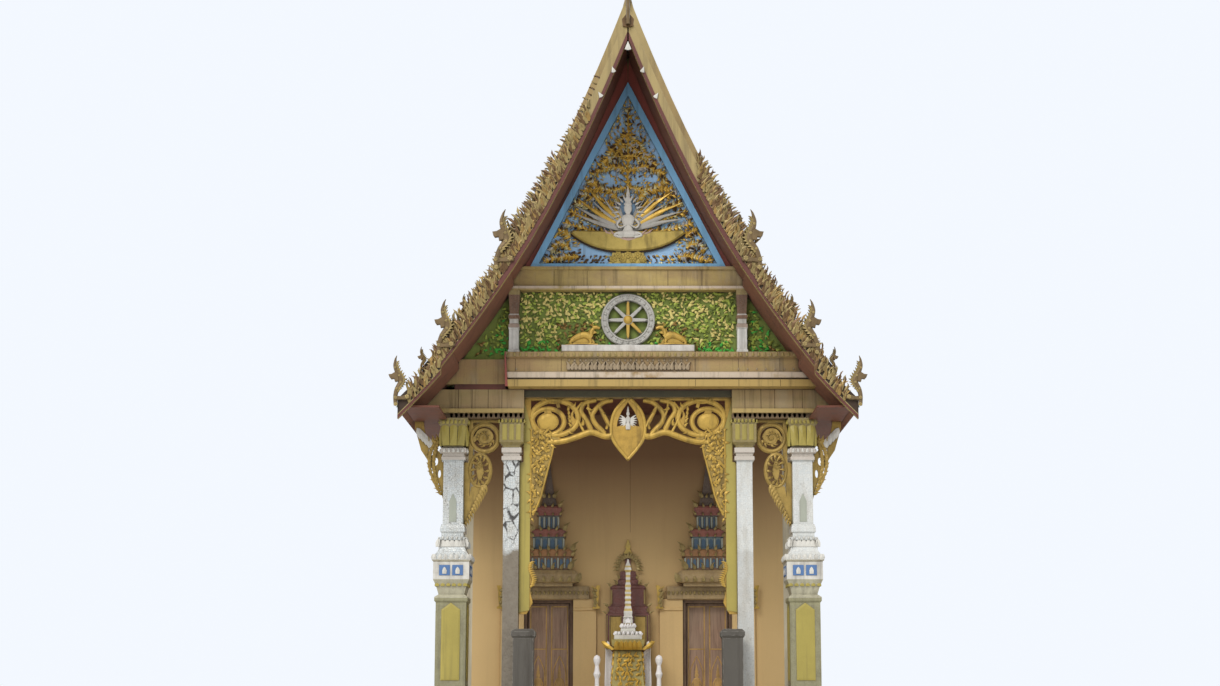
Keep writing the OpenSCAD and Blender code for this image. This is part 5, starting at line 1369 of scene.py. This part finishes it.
class TEMPLE_OT_gable_panel(bpy.types.Operator):
    """Leafy green relief, the wheel's hub and the deer"""
    bl_idname = "temple.gable_panel"
    bl_label = "Gable panel"

    def execute(self, context):
        rng = random.Random(context.scene.temple_roof.seed + 1)
        shapes = [mould(leaf(FLAME, 0.22, 0.2), k) for k in range(5)]
        y = -GABLE_FACE
        bm = bmesh.new()
        step = 0.078
        for n in range(18):
            z = CORNICE_TOP + 0.06 + n * step
            roof = PORCH[1][2] - (z - PORCH[1][3]) * 0.62
            for k in range(-53, 54):
                x = (k + 0.5 * (n % 2)) * step + rng.uniform(-0.02, 0.02)
                wide = abs(x)
                if wide > min(roof, 4.2) - 0.35 or 2.34 < wide < 2.66:
                    continue
                if math.hypot(x, z - WHEEL_Z) < 0.62 or (wide < 1.43 and z < WHEEL_Z - 0.55):
                    continue
                wing = wide > 2.5
                mixed = (0, 0, 0, 2, 3) if wing or z < CORNICE_TOP + 0.3 else (0, 0, 1, 1, 1, 2)
                tone = 3 if z < CORNICE_TOP + 0.2 else rng.choice(mixed)
                by_bush = wing and z < CORNICE_TOP + 0.55 and abs(wide - 3.35) < 0.25
                by_deer = 0.6 < wide < 1.55 and z < WHEEL_Z - 0.1
                if by_bush or by_deer:
                    tone = rng.choice((4, 4, 2, 0))
                cast(bm, shapes[tone], place(x, y, z, rng.uniform(-2.6, 2.6), rng.uniform(0.08, 0.15),
                                             flip=rng.random() < 0.5, deep=0.12))
        stand("panel_leaves", bm, "leaf_a leaf_b leaf_c leaf_d old", "y")

        petal = mould(leaf(PETAL, 0.2, 0.2))
        face = y - 0.11
        bm, pale = bmesh.new(), bmesh.new()
        for k in range(8):
            spoke = plate([(-0.045, 0.0), (0.045, 0.0), (0.03, 0.37), (0.0, 0.43), (-0.03, 0.37)], 0.03, 0.01, 0.008)
            turn = at(0, face + 0.02, WHEEL_Z) @ Matrix.Rotation(k * math.pi / 4, 4, "Y")
            joined(bm if k in (0, 3, 4) else pale, spoke, turn)
        hub = turned([(0.0, 0.05), (0.05, 0.045), (0.09, 0.02), (0.1, 0.0)])
        joined(bm, hub, at(0, face - 0.02, WHEEL_Z) @ about_x(90))
        stand("wheel_spokes", pale, "wheel", "y")
        stand("wheel_gilding", bm, "bright", "y")
        bm = bmesh.new()
        for radius, width in ((0.565, 0.035), (0.465, 0.03)):
            joined(bm, stem(oval_line(0, WHEEL_Z, radius, radius, 48), (width,), 0.02), at(0, face, 0))
        for k in range(24):
            a = math.tau * k / 24
            cast(bm, petal, place(0.485 * math.cos(a), face, WHEEL_Z + 0.485 * math.sin(a), a - math.pi / 2, 0.065,
                                  deep=0.08))
        stand("wheel_rims", bm, "wheel", "y")

        # A deer: back, neck, head, two legs and the ground under it, as points above the shelf and widths
        bm = bmesh.new()
        low = WHEEL_Z - 0.59
        deer = y - 0.13
        for line, widths in (
            (((0.8, 0.18), (0.95, 0.25), (1.12, 0.2), (1.24, 0.12)), (0.17, 0.11)),
            (((0.82, 0.22), (0.8, 0.34), (0.73, 0.42)), (0.11, 0.06)),
            (((0.77, 0.41), (0.69, 0.42), (0.62, 0.39)), (0.1, 0.06)),
            (((0.84, 0.16), (0.82, 0.08), (0.86, 0.02)), (0.09, 0.05)),
            (((1.18, 0.16), (1.26, 0.09), (1.24, 0.02)), (0.1, 0.05)),
            (((0.66, 0.02), (1.0, 0.05), (1.38, 0.02)), (0.07, 0.04)),
        ):
            joined(bm, stem(smooth_line([(x, low + z) for x, z in line], 4), widths, 0.04, 7), at(0, deer, 0))
        for lean in (-0.9, -0.2):
            cast(bm, petal, place(0.77, deer, low + 0.44, lean, 0.1, wide=0.35, deep=0.05))
        stand("deer_carving", bm, "bright", "xy")
        return done()


def crown_face(half):
    """How far the front of a doorway crown stands from the wall where its half width is this."""
    return -WALL_Y - 0.03 - 0.5 * half


def crowns():
    """Windows, little columns and tips on the tiers of the doorway crowns."""
    flame, petal = (mould(leaf(outline, 0.16, 0.14)) for outline in (FLAME, PETAL))
    panes, posts, tips = (bmesh.new() for _ in range(3))
    for low, high, half, count in ((4.73, 4.97, 0.52, 7), (5.2, 5.44, 0.345, 4), (5.68, 5.95, 0.22, 4)):
        y = crown_face(half)
        pitch = 2 * half / count
        for k in range(count + 1):
            x = DOOR_X - half + pitch * k
            joined(posts, brick((x - 0.02, y - 0.02, low), (x + 0.02, y + 0.01, high), 0.006))
            if k < count:
                a, b = x + 0.04, x + pitch - 0.04
                joined(panes, plate([(a, low + 0.02), (b, low + 0.02), (b, high - 0.06), (x + pitch / 2, high - 0.01),
                                     (a, high - 0.06)], 0.01, y=y))
    for z, half, size in ((4.41, 0.7, 0.15), (4.7, 0.52, 0.2), (5.01, 0.585, 0.13), (5.14, 0.58, 0.17),
                          (5.47, 0.39, 0.1), (5.62, 0.39, 0.15), (5.98, 0.295, 0.09), (6.17, 0.27, 0.14),
                          (6.4, 0.14, 0.14)):
        count = max(2, round(half / 0.1))
        for k in range(count + 1):
            u = 2 * k / count - 1
            tall = size * (1.5 if k in (0, count) else 0.9)
            cast(tips, flame if z > 4.6 else petal, place(DOOR_X + u * (half - 0.03), crown_face(half), z, -0.35 * u,
                                                          tall, flip=u < 0, deep=0.2))
    row(tips, petal, 19, DOOR_X - 0.9, 0.1, -WALL_Y - 0.13, 4.21, math.pi, 0.09, 0.15)
    for side in (-1, 1):
        for k in range(6):
            cast(tips, flame, place(DOOR_X + side * (1.1 + 0.03 * (k % 2)), -WALL_Y - 0.18, 3.84 + 0.075 * k,
                                    side * (0.5 + 0.15 * k), 0.13, flip=side < 0, deep=0.12))
    stand("crown_windows", panes, "pane", "x")
    stand("crown_columns", posts, "shaft_grey", "x")
    stand("crown_tips", tips, "khaki", "x")


def door_relief(leaf_x, name):
    """A raised border and a generic guardian under a pointed arch on one door leaf."""
    petal = mould(leaf(PETAL, 0.16, 0.14))
    hung = at(leaf_x, -WALL_Y + 0.21, 0)
    bm, figure = bmesh.new(), bmesh.new()
    for x0, z0, x1, z1 in ((-0.2, 1.43, -0.17, 3.88), (0.17, 1.43, 0.2, 3.88), (-0.17, 1.43, 0.17, 1.46),
                           (-0.17, 3.85, 0.17, 3.88), (-0.17, 2.86, 0.17, 2.89)):
        joined(bm, brick((x0, -0.005, z0), (x1, 0.0, z1), 0.002), hung)
    for side in (-1, 1):
        arch = [(0.15, 2.05), (0.15, 3.1), (0.1, 3.4), (0.0, 3.7)]
        arm = [(0.06, 2.95), (0.11, 2.8), (0.03, 2.66)]
        joined(figure, stem(smooth_line(arch, 4, side), (0.03, 0.025), 0.009))
        joined(figure, stem(smooth_line(arm, 3, side), (0.045, 0.03), 0.009))
        leg = [(side * x, z) for x, z in ((0.035, 2.45), (0.05, 2.25), (0.04, 2.1))]
        joined(figure, stem(leg, (0.07, 0.04), 0.009))
    body = [(0.0, 2.4), (0.09, 2.42), (0.06, 2.68), (0.085, 2.9), (0.07, 2.99), (0.025, 3.02), (0.045, 3.06),
            (0.045, 3.13), (0.025, 3.17), (0.045, 3.19), (0.02, 3.26), (0.028, 3.28), (0.0, 3.46)]
    joined(figure, turned(body, 10, (1, 0.1, 1)))
    row(figure, petal, 5, -0.1, 0.05, 0.0, 1.98, 0, 0.12, 0.05)
    joined(bm, figure, hung @ at(0, 0, -0.02) @ Matrix.Diagonal((1, 1, 0.74, 1)))
    stand("door_carving_" + name, bm, "door_gold", body="door_leaf_" + name)


def niche():
    """Panels, edges and a halo on the niche."""
    flame = mould(leaf(FLAME, 0.16, 0.14))
    gold, dark = bmesh.new(), bmesh.new()
    for side in (-1, 1):
        joined(dark, plate([(side * x, z) for x, z in ((0.17, 2.95), (0.4, 2.95), (0.4, 3.6), (0.17, 3.6))], 0.006,
                           y=-5.335))
        for points in (((0.16, 2.95), (0.16, 3.62), (0.42, 3.62), (0.42, 2.95)),
                       ((0.5, 1.6), (0.49, 2.6), (0.48, 3.64)), ((0.45, 3.72), (0.45, 3.8)),
                       ((0.38, 3.9), (0.375, 4.22))):
            joined(gold, stem([(side * x, z) for x, z in points], (0.03, 0.025), 0.015), at(0, -5.34, 0))
        for x, z, lean, size in ((0.5, 3.68, -0.9, 0.12), (0.46, 3.84, -0.8, 0.14), (0.39, 4.3, -0.6, 0.14),
                                 (0.25, 4.36, -0.4, 0.14), (0.2, 4.5, -0.4, 0.12)):
            cast(gold, flame, place(side * x, crown_face(x) - 0.02 - 0.1 * x, z, side * lean, size, flip=side < 0,
                                    deep=0.12))
    for k in range(15):
        a = math.pi * k / 14
        cast(gold, flame, place(0.2 * math.cos(a), -5.1, 4.72 + 0.26 * math.sin(a), a - math.pi / 2, 0.16, flip=k > 7,
                                deep=0.12))
    stand("niche_gilding", gold, "khaki")
    stand("niche_panels", dark, "carved")


def altar(rng):
    """A petalled bowl, a white shrine under the spire, a cloth of small gilded flames and ball posts."""
    flame, petal = (mould(leaf(outline, 0.16, 0.14)) for outline in (FLAME, PETAL))
    y0 = -WALL_Y - 0.8
    gold, pearl = bmesh.new(), bmesh.new()
    for turn in quarter_turns(0.0, y0):
        row(gold, petal, 6, -0.25, 0.1, -0.3, 2.83, 0, 0.22, 0.5, turn, math.degrees(0.5))
        for k in range(84):
            z = 1.5 + 0.105 * (k // 7)
            x = -0.29 + 0.09 * (k % 7) + 0.045 * (k // 7 % 2)
            wide = 0.37 - 0.07 * (z - 1.5) / 1.2
            cast(gold, flame, turn @ place(x * wide / 0.37, -wide, z, rng.uniform(-1.2, 1.2), 0.13, flip=k % 2 > 0,
                                           deep=0.2))
        row(pearl, petal, 5, -0.2, 0.1, -0.25, 3.14, 0, 0.1, 0.3, turn)
        row(pearl, petal, 5, -0.12, 0.06, -0.12, 3.32, 0, 0.1, 0.25, turn)
        joined(pearl, plate([(-0.06, 3.36), (0.06, 3.36), (0.06, 3.5), (0.0, 3.56), (-0.06, 3.5)], 0.012, 0.02, -0.01,
                            -0.1), turn)
    post = [(0.0, 0.0), (0.1, 0.0), (0.1, 0.12), (0.06, 0.2), (0.05, 0.9), (0.085, 1.0), (0.06, 1.08), (0.045, 1.2),
            (0.075, 1.28), (0.085, 1.35), (0.06, 1.42), (0.0, 1.45)]
    for side in (-1, 1):
        joined(pearl, turned(post, 12), at(side * 0.7, y0 - 0.25, FLOOR_Z) @ Matrix.Scale(0.97, 4))
        for k in range(5):
            fold = [(0.5 - 0.025 * k, 2.9 - 0.05 * k), (0.51 - 0.03 * k, 2.2), (0.53 - 0.03 * k, 1.32)]
            joined(pearl, stem(smooth_line(fold, 3, side), (0.02, 0.035), 0.02), at(0, y0 - 0.02, 0))
    stand("altar_gilding", gold, "leaf_gold")
    stand("altar_white", pearl, "drape")


class TEMPLE_OT_porch_wall(bpy.types.Operator):
    """Doorway crowns, carved doors, the niche and the altar on the porch wall"""
    bl_idname = "temple.porch_wall"
    bl_label = "Porch wall"

    def execute(self, context):
        crowns()
        for side, place_name in ((-1, "left"), (1, "right")):
            for hand, part in ((-1, "inner"), (1, "outer")):
                door_relief(side * (DOOR_X + hand * 0.2475), f"{place_name}_{part}")
        niche()
        altar(random.Random(context.scene.temple_roof.seed + 5))
        return done()


class TEMPLE_OT_columns(bpy.types.Operator):
    """Lotus capitals, collars, pedestal panels and bases of the columns"""
    bl_idname = "temple.columns"
    bl_label = "Columns"

    def execute(self, context):
        petal = mould(leaf(PETAL, 0.12, 0.1))
        long_petal = mould(leaf([(-0.16, 0.0), (-0.17, 0.75), (0.0, 1.0), (0.17, 0.75), (0.16, 0.0)], 0.08, 0.07))
        gold, white, blue, pale = (bmesh.new() for _ in range(4))
        cap = CAPITAL_Z
        for turn in quarter_turns(OUTER_X, -COLUMN_Y):
            for u in (-1, 0, 1):
                cast(gold, long_petal, turn @ place(u * 0.16, -0.262, cap + 0.02, -u * 0.06, 0.54, wide=0.9, deep=0.6)
                     @ about_x(-4))
            for bm, count, x, pitch, y, z, angle, size, deep, lean in (
                (gold, 6, -0.22, 0.088, -0.29, cap + 0.5, 0, 0.1, 0.25, 0),
                (white, 5, -0.2, 0.1, -0.275, cap - 0.125, 0, 0.09, 0.2, 0),
                (white, 5, -0.2, 0.1, -0.275, 5.17, math.pi, 0.06, 0.2, 0),
                (white, 7, -0.36, 0.12, -0.385, 4.66, 0, 0.13, 0.25, 0),
                (white, 7, -0.3, 0.1, -0.27, 4.95, 0, 0.18, 0.12, -12),
                (white, 2, -0.14, 0.28, -0.395, 4.36, 0, 0.15, 0.1, 0),
                (gold, 6, -0.3, 0.12, -0.33, 4.1, 0, 0.15, 0.2, -14),
            ):
                row(bm, petal, count, x, pitch, y, z, angle, size, deep, turn, lean)
            for x in (-0.14, 0.14):
                a, b = x - 0.115, x + 0.115
                joined(blue, plate([(a, 4.33), (b, 4.33), (b, 4.55), (a, 4.55)], 0.01, y=-0.386), turn)
            joined(gold, plate([(-0.2, 2.1), (0.2, 2.1), (0.2, 3.6), (0.0, 3.75), (-0.2, 3.6)], 0.012, 0.04, 0.008,
                               -0.325), turn)
            joined(pale, plate([(-0.075, 5.5), (0.075, 5.5), (0.075, 5.95), (0.0, 6.12), (-0.075, 5.95)], 0.008,
                               y=-0.215), turn)
            joined(pale, brick((-0.225, -0.222, 5.34), (0.225, -0.21, 5.43), 0.004), turn)
        for turn in quarter_turns(INNER_X, -COLUMN_Y):
            row(gold, petal, 6, -0.2, 0.08, -0.26, cap + 0.53, 0, 0.085, 0.2, turn)
            for a in (-0.2, -0.05, 0.1):
                b = a + 0.1
                panel = [(a, cap + 0.15), (b, cap + 0.15), (b, cap + 0.5), (a, cap + 0.5)]
                joined(gold, plate(panel, 0.006, 0.02, 0.006, -0.26), turn)
            row(white, petal, 5, -0.16, 0.08, -0.21, 1.72, 0, 0.1, 0.2, turn)
        for k in range(4):
            x, z = OUTER_X + 0.5 + 0.07 * k, 7.16 + 0.07 * k
            cast(white, petal, place(x, -COLUMN_Y - 0.045, z, -0.5, 0.24, deep=0.2))
        stand("shaft_panels", pale, "shaft_grey", "xy")
        stand("capital_petals", gold, "yellow_olive", "xy")
        stand("column_petals", white, "white", "xy")
        stand("pedestal_panels", blue, "blue_paint", "xy")
        return done()


STEPS = [TEMPLE_OT_stage, TEMPLE_OT_finishes, TEMPLE_OT_roof_tiles, TEMPLE_OT_board_trim, TEMPLE_OT_blades,
         TEMPLE_OT_finials, TEMPLE_OT_pediment, TEMPLE_OT_arch_carving, TEMPLE_OT_beams, TEMPLE_OT_gable_panel,
         TEMPLE_OT_porch_wall, TEMPLE_OT_columns]


class TEMPLE_PT_looks(bpy.types.Panel):
    """Every step that dresses the temple"""
    bl_idname = "TEMPLE_PT_looks"
    bl_label = "Temple hall"
    bl_space_type = "VIEW_3D"
    bl_region_type = "UI"
    bl_category = "Temple"

    def draw(self, context):
        for step in STEPS:
            self.layout.operator(step.bl_idname)


CLASSES = [TempleView, TempleColours, TempleRoof, *STEPS, TEMPLE_PT_looks]


def register():
    for item in CLASSES:
        bpy.utils.register_class(item)
    bpy.types.Scene.temple_view = PointerProperty(type=TempleView)
    bpy.types.Scene.temple_colours = PointerProperty(type=TempleColours)
    bpy.types.Scene.temple_roof = PointerProperty(type=TempleRoof)


def unregister():
    del bpy.types.Scene.temple_view
    del bpy.types.Scene.temple_colours
    del bpy.types.Scene.temple_roof
    for item in reversed(CLASSES):
        bpy.utils.unregister_class(item)


def main():
    register()
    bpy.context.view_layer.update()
    bpy.ops.temple.stage()
    bpy.ops.temple.finishes()
    bpy.ops.temple.roof_tiles()
    bpy.ops.temple.board_trim()
    bpy.ops.temple.blades()
    bpy.ops.temple.finials()
    bpy.ops.temple.pediment()
    bpy.ops.temple.arch_carving()
    bpy.ops.temple.beams()
    bpy.ops.temple.gable_panel()
    bpy.ops.temple.porch_wall()
    bpy.ops.temple.columns()


if __name__ == "__main__":
    main()
